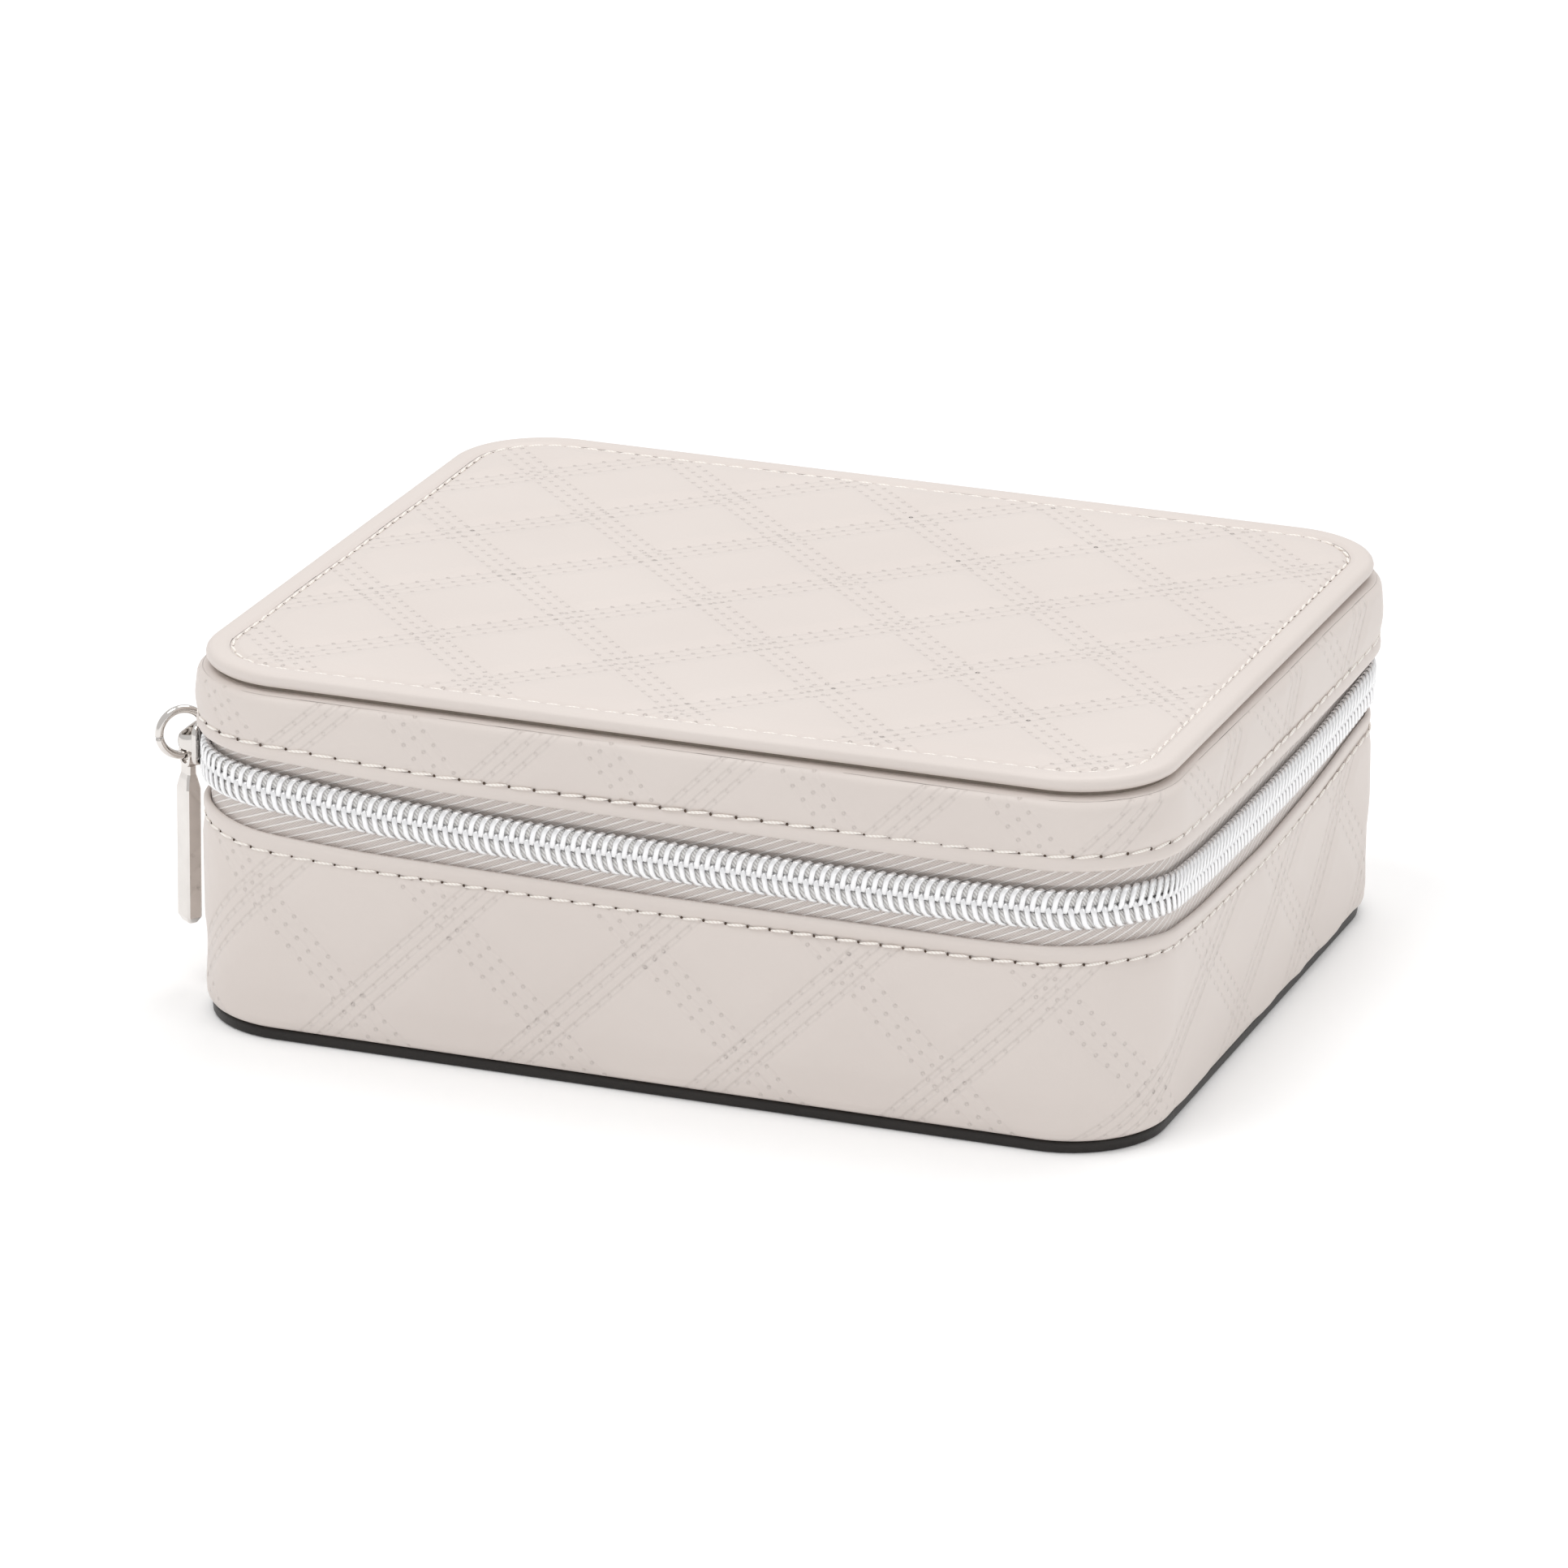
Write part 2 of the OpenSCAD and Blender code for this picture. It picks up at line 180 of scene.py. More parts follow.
def round_case(along, out):
    """x, y and the facing angle of places `along` and `out` mm round the case."""
    distance = np.abs(along)
    side = np.where(np.asarray(along) < 0, -1.0, 1.0)
    angle = np.radians(np.interp(distance, steps_round, [-90, -90, 0, 0, 90, 90]))
    x = np.interp(distance, steps_round, [0, turn_x, turn_x, turn_x, turn_x, 0]) + (corner + out) * np.cos(angle)
    y = np.interp(distance, steps_round, [-turn_y] * 3 + [turn_y] * 3) + (corner + out) * np.sin(angle)
    return side * x, y, side * np.cos(angle), np.sin(angle)


def smooth_line(points, blur=5.0):
    """A height that runs smoothly through points of (distance round the case, height)."""
    along = np.arange(-300, 300.1, 1.0)
    height = np.interp(along, *zip(*points))
    kernel = np.exp(-0.5 * (np.arange(-20, 21) / blur) ** 2)
    height = np.convolve(np.pad(height, 20, mode="edge"), kernel / kernel.sum(), mode="valid")
    return lambda s: np.interp(s, along, height)


# The hand-sewn edges and the zip between them wander, and climb at the corners.
chain_line = smooth_line([(-300, 38.5), (-200, 40.1), (-84, 40.1), (-66, 40.1), (-55, 39.0), (-47, 38.1), (-30, 37.3),
                          (-12, 37.0), (38, 36.9), (60, 37.5), (75, 38.2), (97, 36.5), (125, 36.0), (154, 36.2),
                          (172, 37.2), (185, 38.4), (200, 38.0), (300, 37.0)])
body_line = smooth_line([(-300, 31.8), (-200, 33.0), (-110, 33.2), (-84, 33.9), (-74, 34.1), (-60, 32.6), (-45, 31.8),
                         (-5, 31.4), (54, 31.5), (66, 32.3), (76, 32.4), (96, 30.6), (128, 29.9), (156, 31.0),
                         (182, 33.2), (200, 32.6), (300, 31.8)], 4.0)
lid_line = smooth_line([(-300, 43.0), (-205, 43.4), (-185, 44.5), (-74, 44.6), (-58, 44.2), (-42, 43.3), (-30, 43.0),
                        (-5, 42.9), (49, 43.1), (62, 43.6), (78, 43.7), (95, 43.0), (111, 42.4), (144, 42.0),
                        (169, 42.4), (190, 43.2), (300, 43.0)], 4.0)


def bent_grid(columns, rows, place):
    """A flat grid, each of its points then moved to where place(column, row) puts it."""
    bm = bmesh.new()
    bmesh.ops.create_grid(bm, x_segments=columns, y_segments=rows, size=1)
    column = np.array([(v.co.x + 1) * columns / 2 for v in bm.verts])
    row = np.array([(v.co.y + 1) * rows / 2 for v in bm.verts])
    for v, spot in zip(bm.verts, np.column_stack(place(column, row)) * mm):
        v.co = spot
    return bm


def piece(name, bm, material, body=None, stands_for=(), smooth=True):
    """Makes a finished bmesh an object of one material that rides on a body."""
    mesh = bpy.data.meshes.new(name)
    bm.to_mesh(mesh)
    bm.free()
    mesh.polygons.foreach_set("use_smooth", [smooth] * len(mesh.polygons))
    mesh.materials.append(material)
    made = bpy.data.objects.new(name, mesh)
    bpy.context.collection.objects.link(made)
    if body:
        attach(made, body)
    if stands_for:
        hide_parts(*stands_for)
    return made


# ---- Quilting ----
# Lines of stitching embossed in the leather before it is wrapped round the board: bands of
# three rows, which cross and leave soft padded diamonds between them.
row_gap, band_half = 2.0, 3.1


def nearest_band(bands, level, s, z):
    """Distance across and along the band nearest to each place, for bands of (start, slope)."""
    start, slope = np.array(bands).T
    size = np.sqrt(1 + slope ** 2)
    across = (np.asarray(s)[:, None] - start - slope * (np.asarray(z)[:, None] - level)) / size
    return np.abs(across).argmin(1)


def puff(bands_pair, level, s, z):
    """How far padded leather stands out between its bands, from 0 in a band to 1 in a diamond."""
    full = 1.0
    for bands in bands_pair:
        pick = nearest_band(bands, level, s, z)
        start, slope = np.array(bands)[pick].T
        across = np.abs(s - start - slope * (z - level)) / np.sqrt(1 + slope ** 2)
        full = full * np.clip((across - 2.2) / 2.6, 0, 1) ** 0.8
    return full


def add_band_maps(obj, s, z, bands_pair, level, plain):
    """Gives the leather one UV map for each direction of band: mm across and mm along it.

    Hems, where plain is 1, lie outside every band."""
    mesh = obj.data
    corners = np.zeros(len(mesh.loops), int)
    mesh.loops.foreach_get("vertex_index", corners)
    sizes = np.zeros(len(mesh.polygons), int)
    mesh.polygons.foreach_get("loop_total", sizes)
    face = np.repeat(np.arange(len(sizes)), sizes)
    s_at, z_at = s[corners], z[corners]
    first = s_at[np.concatenate([[0], np.cumsum(sizes)[:-1]])][face]
    s_at = np.where(s_at - first > half_round, s_at - 2 * half_round, s_at)
    s_at = np.where(first - s_at > half_round, s_at + 2 * half_round, s_at)
    s_mid = np.bincount(face, s_at) / sizes
    z_mid = np.bincount(face, z_at) / sizes
    for name, bands in zip(("rising", "falling"), bands_pair):
        start, slope = np.array(bands)[nearest_band(bands, level, s_mid, z_mid)][face].T
        size = np.sqrt(1 + slope ** 2)
        across = (s_at - start - slope * (z_at - level)) / size + 50 * plain[corners]
        along = ((s_at - start) * slope + z_at - level) / size
        layer = mesh.uv_layers.new(name=name)
        layer.data.foreach_set("uv", np.column_stack([across, along]).ravel())


def sewn_rows(tree, uv_name, line_depth, hole_depth):
    """Height and needle holes of three embossed rows of stitching, read from a band's UV map."""
    spot = add(tree, "ShaderNodeSeparateXYZ", Vector=add(tree, "ShaderNodeUVMap", {"uv_map": uv_name}).outputs[0])
    across, along = spot.outputs[0], spot.outputs[1]
    near = maths(tree, "WRAP", {1: row_gap / 2, 2: -row_gap / 2}, i0=across)
    near = maths(tree, "ABSOLUTE", i0=near.outputs[0])
    inside = maths(tree, "ABSOLUTE", i0=across)
    inside = maths(tree, "LESS_THAN", {1: band_half}, i0=inside.outputs[0])
    groove = add(tree, "ShaderNodeMapRange", {"interpolation_type": "SMOOTHSTEP", "From Min": 0.10, "From Max": 0.60,
                                              "To Min": 1, "To Max": 0}, Value=near.outputs[0])
    # needle holes every 2.5 mm along a row
    step = maths(tree, "WRAP", {1: 1.25, 2: -1.25}, i0=along)
    reach = add(tree, "ShaderNodeCombineXYZ", X=near.outputs[0], Y=step.outputs[0])
    reach = add(tree, "ShaderNodeVectorMath", {"operation": "LENGTH"}, i0=reach.outputs[0])
    hole = add(tree, "ShaderNodeMapRange", {"interpolation_type": "SMOOTHSTEP", "From Min": 0.08, "From Max": 0.40,
                                            "To Min": 1, "To Max": 0}, Value=reach.outputs["Value"])
    lines = maths(tree, "MULTIPLY", {1: line_depth}, i0=groove.outputs[0])
    depth = maths(tree, "MULTIPLY_ADD", {1: hole_depth}, i0=hole.outputs[0], i2=lines.outputs[0])
    depth = maths(tree, "MULTIPLY", i0=depth.outputs[0], i1=inside.outputs[0])
    hole = maths(tree, "MULTIPLY", i0=hole.outputs[0], i1=inside.outputs[0])
    return depth.outputs[0], hole.outputs[0]


def leather(name, rows):
    """Pale coated calf: silky, with a very fine pebble grain and a faint change of tone."""
    material, tree, shader = new_material(name, {"Roughness": 0.47, "Specular IOR Level": 0.42, "Coat Weight": 0.08,
                                                 "Coat Roughness": 0.35})
    place = own_place(tree)
    # pebbles of about 0.5 mm, under creases some millimetres apart
    pebble = add(tree, "ShaderNodeTexVoronoi", {"feature": "SMOOTH_F1", "Scale": 2100, "Smoothness": 0.6},
                 Vector=place)
    crease = add(tree, "ShaderNodeTexNoise", {"Scale": 320, "Detail": 4}, Vector=place)
    cloud = add(tree, "ShaderNodeTexNoise", {"Scale": 26, "Detail": 3}, Vector=place)
    tone = add(tree, "ShaderNodeMix", {"data_type": "RGBA", 6: linear("#D5CBC5"), 7: linear("#DDD4CE")},
               Factor=cloud.outputs["Fac"])
    colour = tone.outputs[2]
    bump = add(tree, "ShaderNodeBump", {"Strength": 0.25, "Distance": 0.00004}, Height=pebble.outputs["Distance"])
    bump = add(tree, "ShaderNodeBump", {"Strength": 0.30, "Distance": 0.0001}, Height=crease.outputs["Fac"],
               Normal=bump.outputs[0])
    for uv_name, line_depth, hole_depth in rows:
        depth, hole = sewn_rows(tree, uv_name, line_depth, hole_depth)
        bump = add(tree, "ShaderNodeBump", {"invert": True, "Strength": 1.0, "Distance": 0.00018},
                   Height=depth, Normal=bump.outputs[0])
        # painted shade: each needle hole of the quilted rows is darkened towards #9C8F86
        shade = maths(tree, "MULTIPLY", {1: 0.17 * hole_depth}, i0=hole)
        colour = add(tree, "ShaderNodeMix", {"data_type": "RGBA", 7: linear("#9C8F86")}, Factor=shade.outputs[0],
                     i6=colour).outputs[2]
    tree.links.new(colour, shader.inputs["Base Color"])
    tree.links.new(bump.outputs[0], shader.inputs["Normal"])
    return material


quilted_leather = leather("quilted coated calf", (("rising", 0.75, 0.45), ("falling", 0.3, 0.75)))
plain_leather = leather("plain coated calf", ())


# ---- Leather walls ----
# Strips of quilted calf over thin foam, glued round the board. The edges beside the zip are
# turned over and sewn down; the others are tucked under the case and under the top panel.
body_pitch, lid_pitch = 3.4, 3.9            # from stitch to stitch along the two sewn edges


def stitch_steps(pitch):
    """Where the stitches of a seam round the case begin, and their exact spacing, in mm."""
    return -half_round + pitch / 2, 2 * half_round / round(2 * half_round / pitch)


def leather_wall(name, profile, level, bands_pair, edge, seam_z, pitch, flip):
    """Wraps a strip round the case. The profile is (out, z), and z near the sewn edge follows it."""
    holes_from, holes_step = stitch_steps(pitch)
    holes_from += holes_step / 2
    profile = np.array(profile, float)
    length = np.concatenate([[0], np.cumsum(np.hypot(*np.diff(profile, axis=0).T))])
    rows = int(length[-1] / 0.45)
    columns = 1172

    def place(column, row):
        s = (column / columns * 2 - 1) * half_round
        run = row / rows * length[-1]
        out = np.interp(run, length, profile[:, 0])
        z = np.interp(run, length, profile[:, 1])
        # the whole strip leans towards its wandering edge
        share = np.clip((z - seam_z[1]) / (seam_z[0] - seam_z[1]), 0, 1.2)
        quilt = puff(bands_pair, level, s, z)
        flat = np.clip((np.abs(z - edge) - 3.4) / 2, 0, 1) * np.clip((np.abs(z - seam_z[1]) - 0.5) / 3, 0, 1)
        out = out + (0.34 * quilt - 0.12) * flat * (out > -0.6)
        # each needle hole pulls the leather in
        near_s = (s - holes_from + holes_step / 2) % holes_step - holes_step / 2
        out = out - 0.30 * np.exp(-(near_s ** 2 + (z - seam_z[0]) ** 2) / 0.40 ** 2) * (out > -0.5)
        # hand work: the wall is never quite flat
        out = out + (out > -0.6) * (0.12 * np.sin(s / 23 + z / 9) + 0.08 * np.sin(s / 11 - z / 5 + 1))
        line = body_line if not flip else lid_line
        moved = z + (line(s) - edge) * share
        x, y, _, _ = round_case(s, out)
        return x, y, moved

    bm = bent_grid(columns, rows, place)
    bmesh.ops.remove_doubles(bm, verts=bm.verts[:], dist=1e-7)
    made = piece(name, bm, quilted_leather)
    co = np.zeros(len(made.data.vertices) * 3)
    made.data.vertices.foreach_get("co", co)
    return made, co.reshape(-1, 3) / mm


def flat_coordinates(co):
    """Distance round the case of points on its wall, in mm."""
    x, y = np.abs(co[:, 0]), co[:, 1]
    front = np.minimum(x, turn_x)
    ang_f = np.degrees(np.arctan2(x - turn_x, -(y + turn_y)))
    ang_b = np.degrees(np.arctan2(y - turn_y, x - turn_x))
    s = np.where(y < -turn_y, np.where(x < turn_x, front, turn_x + np.clip(ang_f, 0, 90) / 90 * quarter),
                 np.where(y <= turn_y, turn_x + quarter + y + turn_y,
                          np.where(x > turn_x, steps_round[3] + np.clip(ang_b, 0, 90) / 90 * quarter,
                                   half_round - x)))
    return np.where(co[:, 0] < 0, -s, s)


body_bands = ([(v, 1.0) for v in (-247.2, -216.8, -186.3, -155.9, -125.4, -95.0, -64.5, -34.1, -3.7, 26.9, 57.2)]
              + [(97.9, 1.6), (133.0, 1.3), (160.8, 1.15), (191.3, 1.0), (221.8, 1.0), (252.3, 1.0)],
              [(v, -1.04) for v in (-245.0, -214.0, -183.0, -152.0, -121.0, -90.0, -59.0, -28.0, 2.9, 35.0, 66.3)]
              + [(103.2, -1.1), (137.9, -0.96), (169.9, -1.0), (200.9, -1.0), (231.9, -1.0), (262.9, -1.0)])
lid_bands = ([(v, 1.0) for v in (-241.6, -210.3, -179.0, -147.7, -116.4, -85.1, -53.8, -22.2, 9.1, 40.0, 70.8)]
             + [(104.4, 0.9), (135.7, 0.6), (166.9, 0.9), (198.2, 1.0), (229.5, 1.0), (260.8, 1.0)],
             [(v, -0.84) for v in (-253.0, -221.9, -190.7, -159.5, -128.4, -97.2, -66.0, -34.8, -4.1, 27.1, 58.2)]
             + [(94.0, -1.28), (128.2, -1.5), (159.5, -1.2), (190.7, -1.0), (221.9, -1.0), (253.0, -1.0)])

body_profile = [(-3.4, base_top_z + 0.02), (-2.0, base_top_z - 0.03), (-1.1, base_top_z + 0.12),
                (-0.45, base_top_z + 0.6), (-0.1, base_top_z + 1.5), (0.0, base_top_z + 3.0),
                (0.0, 26.8), (-0.04, 28.0), (-0.28, 28.75),
                (-0.08, 29.5), (0.12, 30.2), (0.12, 30.9), (-0.1, 31.35), (-0.45, 31.5), (-0.8, 31.35), (-1.02, 30.9),
                (-1.05, 28.0)]
body_leather, spots = leather_wall("body_leather", body_profile, 20.0, body_bands, body_edge_z, (28.75, 5.0),
                                   body_pitch, False)
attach(body_leather, "case_body")
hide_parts("body_cover")
s_flat = flat_coordinates(spots)
lean = (body_line(s_flat) - body_edge_z) * np.clip((spots[:, 2] - 5) / 23, 0, 1.1)
add_band_maps(body_leather, s_flat, spots[:, 2] - lean, body_bands, 20.0, spots[:, 2] > body_line(s_flat) - 2.4)

lid_profile = [(-1.0, 47.5), (-0.95, 43.9), (-0.7, 43.3), (-0.3, 43.02), (0.2, 43.0), (0.7, 43.12), (1.0, 43.6),
               (1.02, 44.3), (0.86, 45.0), (0.62, 45.55), (0.84, 46.2), (0.9, 47.2), (0.9, 52.5), (0.72, 53.4),
               (0.15, 54.1), (-0.8, 54.5), (-2.2, 54.6), (-4.5, 54.6)]
lid_leather, spots = leather_wall("lid_leather", lid_profile, 49.0, lid_bands, lid_edge_z, (45.55, 54.5),
                                  lid_pitch, True)
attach(lid_leather, "lid")
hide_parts("lid_cover")
s_flat = flat_coordinates(spots)
lean = (lid_line(s_flat) - lid_edge_z) * np.clip((54.5 - spots[:, 2]) / 9, 0, 1.1)
add_band_maps(lid_leather, s_flat, spots[:, 2] - lean, lid_bands, 49.0,
              (spots[:, 2] < lid_line(s_flat) + 2.2) | (spots[:, 2] > 54.3))

# ---- Top panel ----
# A separate panel of the same quilted calf over foam and board, its edge rolled under, with a
# row of stitches 4 mm in that pulls a groove round it.
low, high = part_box("top_panel")
panel_x, panel_y, panel_r = high.x / mm, high.y / mm, 15.6
panel_low, panel_high = low.z / mm, high.z / mm
edge_r = (panel_high - panel_low) / 2 - 0.1
over = math.pi * edge_r - edge_r            # cloth that the rolled edge takes up
top_bands = ([(-70.24 + 31.51 * k, 1.0) for k in range(-3, 7)], [(-18.44 + 30.83 * k, -0.9325) for k in range(-4, 6)])
groove_in = 4.0


def panel_place(column, row):
    """Rolls a flat rounded sheet's edge under and presses the sewn groove into it."""
    wide_x, wide_y, wide_r = panel_x + over, panel_y + over, panel_r + over
    x, y = (column / 330 * 2 - 1) * wide_x, (row / 276 * 2 - 1) * wide_y
    u, v = np.abs(x) - (wide_x - wide_r), np.abs(y) - (wide_y - wide_r)
    both = (u > 0) & (v > 0)
    pull = np.where(both, np.maximum(u, v) / np.maximum(np.hypot(u, v), 1e-9), 1)
    u, v = np.where(both, u * pull, u), np.where(both, v * pull, v)
    x = np.sign(x) * (u + wide_x - wide_r)
    y = np.sign(y) * (v + wide_y - wide_r)
    gap = np.where(both, wide_r - np.hypot(u, v), np.minimum(wide_r - u, wide_r - v))
    nx = np.where(both, u / np.maximum(np.hypot(u, v), 1e-9), (u > v) * 1.0) * np.sign(x)
    ny = np.where(both, v / np.maximum(np.hypot(u, v), 1e-9), (u <= v) * 1.0) * np.sign(y)
    angle = np.clip(gap / edge_r, 0, math.pi)
    inward = np.where(angle < math.pi, edge_r * (1 - np.sin(angle)), gap - math.pi * edge_r + edge_r)
    z = panel_low + edge_r * (1 - np.cos(angle))
    x, y = x + nx * (gap - inward - over), y + ny * (gap - inward - over)
    z = z - 0.62 * np.exp(-((inward - groove_in) / 0.55) ** 2) - 0.12 * np.clip((inward - groove_in) / 1.5, 0, 1)
    quilt = puff(top_bands, 0.0, x, y) * np.clip((inward - groove_in - 0.8) / 3, 0, 1)
    z = z + 0.42 * quilt + 0.10 * np.sin(x / 19 + 1) * np.sin(y / 23) * np.clip(inward / 8, 0, 1)
    return x, y, z


bm = bent_grid(330, 276, panel_place)
rim = [e for e in bm.edges if e.is_boundary]
bmesh.ops.contextual_create(bm, geom=rim)
panel_leather = leather("quilted coated calf of the top", (("rising", 0.5, 0.95), ("falling", 0.4, 0.95)))
top_panel = piece("top_panel_leather", bm, panel_leather, "lid", ["top_panel"])
co = np.zeros(len(top_panel.data.vertices) * 3)
top_panel.data.vertices.foreach_get("co", co)
co = co.reshape(-1, 3) / mm
hem = np.maximum(np.maximum(np.abs(co[:, 0]) - panel_x, np.abs(co[:, 1]) - panel_y),
                 np.hypot(np.maximum(np.abs(co[:, 0]) - panel_x + panel_r, 0),
                          np.maximum(np.abs(co[:, 1]) - panel_y + panel_r, 0)) - panel_r) > 0.5 - groove_in
add_band_maps(top_panel, co[:, 0], co[:, 1], top_bands, 0.0, hem)

# ---- Stitches ----
# Waxed linen thread in slanting stitches. Each one rises from the needle hole of the last and
# dives into its own, so small dark holes show between them; their dark is painted shade on flat discs.
# Waxed linen: paler than the leather, with a twist that catches light.
thread, tree, shader = new_material("waxed linen thread", {"Roughness": 0.45})
place = own_place(tree)
twist = add(tree, "ShaderNodeTexWave", {"bands_direction": "DIAGONAL", "Scale": 900, "Distortion": 0.5}, Vector=place)
toned(tree, shader, "#EAE2DA", "#F8F4EE", twist.outputs["Fac"])
bumped(tree, shader, 0.35, 0.00003, twist.outputs["Fac"])
# The inside of a needle hole: leather in deep shade.
hole_shade, tree, shader = new_material("needle hole shade", {"Roughness": 0.9, "Specular IOR Level": 0.1})
fibre = add(tree, "ShaderNodeTexNoise", {"Scale": 3000}, Vector=own_place(tree))
toned(tree, shader, "#43372F", "#65564B", fibre.outputs["Fac"])


def sew(name, body, spots, length, hole_step, hole_size, hole_sunk, thick):
    """Sews stitches at spots of (place, direction along the seam, direction out of the leather)."""
    threads, hole_shade_discs = bmesh.new(), bmesh.new()
    for number, (spot, run, out) in enumerate(spots):
        spot, run, out = Vector(spot) * mm, Vector(run).normalized(), Vector(out).normalized()
        side = out.cross(run)
        lean = run + side * (0.10 + 0.03 * math.sin(number * 2.4))
        lean.normalize()
        turned = Matrix((lean, out.cross(lean), out)).transposed().to_4x4()
        size = Matrix.Diagonal((length / 2 * mm, thick / 2 * mm, thick * 0.5 * mm, 1))
        laid = Matrix.Translation(spot) @ turned @ size @ Matrix.Rotation(math.pi / 2, 4, "Y")
        bmesh.ops.create_uvsphere(threads, u_segments=8, v_segments=6, radius=1, matrix=laid)
        # a flat dark disc of painted shade, sunk into each needle hole
        flat = Matrix.Diagonal((hole_size * 0.85 * mm, hole_size * mm, 0.08 * mm, 1))
        at = spot + (run * hole_step / 2 - side * 0.08 - out * hole_sunk) * mm
        pressed = Matrix.Translation(at) @ turned @ flat
        bmesh.ops.create_uvsphere(hole_shade_discs, u_segments=8, v_segments=4, radius=1, matrix=pressed)
    piece(name + "_stitches", threads, thread, body)
    piece(name + "_needle_hole_shade", hole_shade_discs, hole_shade, body)


def wall_seam(line, below, pitch, out):
    """Stitch places along a sewn edge, `below` mm from it."""
    spots = []
    first, step = stitch_steps(pitch)
    for s in np.arange(first, half_round, step):
        x, y, nx, ny = round_case(s, out)
        z = float(line(s)) - below
        climb = float(line(s + 1) - line(s - 1)) / 2
        spots.append(((x, y, z), (-ny, nx, climb), (nx, ny, 0)))
    return spots


sew("body", "case_body", wall_seam(body_line, below=2.75, pitch=body_pitch, out=-0.14), length=3.05,
    hole_step=body_pitch, hole_size=0.24, hole_sunk=0.20, thick=0.46)
sew("lid", "lid", wall_seam(lid_line, below=-2.55, pitch=lid_pitch, out=0.76), length=3.5,
    hole_step=lid_pitch, hole_size=0.26, hole_sunk=0.20, thick=0.48)

panel_seam = []
seam_r, panel_pitch = panel_r - groove_in, 3.05
panel_round = 2 * ((panel_x - panel_r) * 2 + (panel_y - panel_r) * 2) + 2 * math.pi * seam_r
count = round(panel_round / panel_pitch)
arc = seam_r * math.pi / 2
knots = np.cumsum([0, panel_x - panel_r, arc, 2 * (panel_y - panel_r), arc, panel_x - panel_r])
for k in range(count):
    t = (k + 0.5) / count * panel_round - knots[-1]
    angle = math.radians(float(np.interp(abs(t), knots, [-90, -90, 0, 0, 90, 90])))
    x = float(np.interp(abs(t), knots, [0] + [panel_x - panel_r] * 4 + [0])) + seam_r * math.cos(angle)
    y = float(np.interp(abs(t), knots, [panel_r - panel_y] * 3 + [panel_y - panel_r] * 3)) + seam_r * math.sin(angle)
    side = -1 if t < 0 else 1
    z = float(panel_high - 0.2 - 0.46)
    panel_seam.append(((side * x, y, z), (-math.sin(angle), side * math.cos(angle), 0), (0, 0, 1)))
sew("top_panel", "lid", panel_seam, length=2.6, hole_step=panel_round / count, hole_size=0.22, hole_sunk=0.10,
    thick=0.5)


# ---- Base panel ----
# A flat panel of black leatherette over board, which the case stands on. Its edge is rounded
# and stands 1 mm inside the face of the walls.
def rounded_panel(bm, half, radius, z_low, z_high, soft):
    """A slab with round corners and softened edges, added to bm. Sizes in mm."""
    before = set(bm.faces)
    made = bmesh.ops.create_grid(bm, x_segments=1, y_segments=1, size=1, matrix=Matrix.Translation((0, 0, z_low * mm))
                                 @ Matrix.Diagonal((half[0] * mm, half[1] * mm, 1, 1)))
    bmesh.ops.bevel(bm, geom=made["verts"], offset=radius * mm, affect="VERTICES", segments=12, profile=0.5,
                    material=-1)
    flat = [f for f in bm.faces if f not in before]
    lifted = bmesh.ops.extrude_face_region(bm, geom=flat)
    caps = [f for f in lifted["geom"] if isinstance(f, bmesh.types.BMFace)]
    tops = [v for v in lifted["geom"] if isinstance(v, bmesh.types.BMVert)]
    bmesh.ops.translate(bm, verts=tops, vec=(0, 0, (z_high - z_low) * mm))
    every = set(flat) | set(caps) | {f for v in tops for f in v.link_faces}
    rims = [e for e in {e for f in every for e in f.edges} if e.calc_face_angle(0) > 1]
    bmesh.ops.bevel(bm, geom=rims, offset=soft * mm, affect="EDGES", segments=4, profile=0.5, material=-1)
    bmesh.ops.recalc_face_normals(bm, faces=bm.faces[:])


# Black leatherette: satin, with a tight printed grain.
leatherette, tree, shader = new_material("black leatherette", {"Roughness": 0.42, "Specular IOR Level": 0.4})
place = own_place(tree)
print_grain = add(tree, "ShaderNodeTexVoronoi", {"Scale": 1400, "feature": "DISTANCE_TO_EDGE"}, Vector=place)
rub = add(tree, "ShaderNodeTexNoise", {"Scale": 60, "Detail": 3}, Vector=place)
toned(tree, shader, "#15110F", "#241F1C", rub.outputs["Fac"])
bumped(tree, shader, 0.5, 0.00006, print_grain.outputs["Distance"])

low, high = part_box("base_panel")
bm = bmesh.new()
base_corner = 15.0
rounded_panel(bm, (high.x / mm, high.y / mm), base_corner, 0, base_top_z, 0.5)
piece("base_leatherette", bm, leatherette, "case_body", ["base_panel"])


# ---- Zip tapes ----
# Two woven polyester tapes, sewn behind the leather edges, that carry the coil.
# Polyester twill: dull, with pale slanting ribs and fine knots between them.
tape_cloth, tree, shader = new_material("polyester herringbone tape", {"Roughness": 0.75, "Specular IOR Level": 0.3,
                                                                        "Sheen Weight": 0.25})
spot = add(tree, "ShaderNodeSeparateXYZ", Vector=add(tree, "ShaderNodeUVMap", {"uv_map": "weave"}).outputs[0])
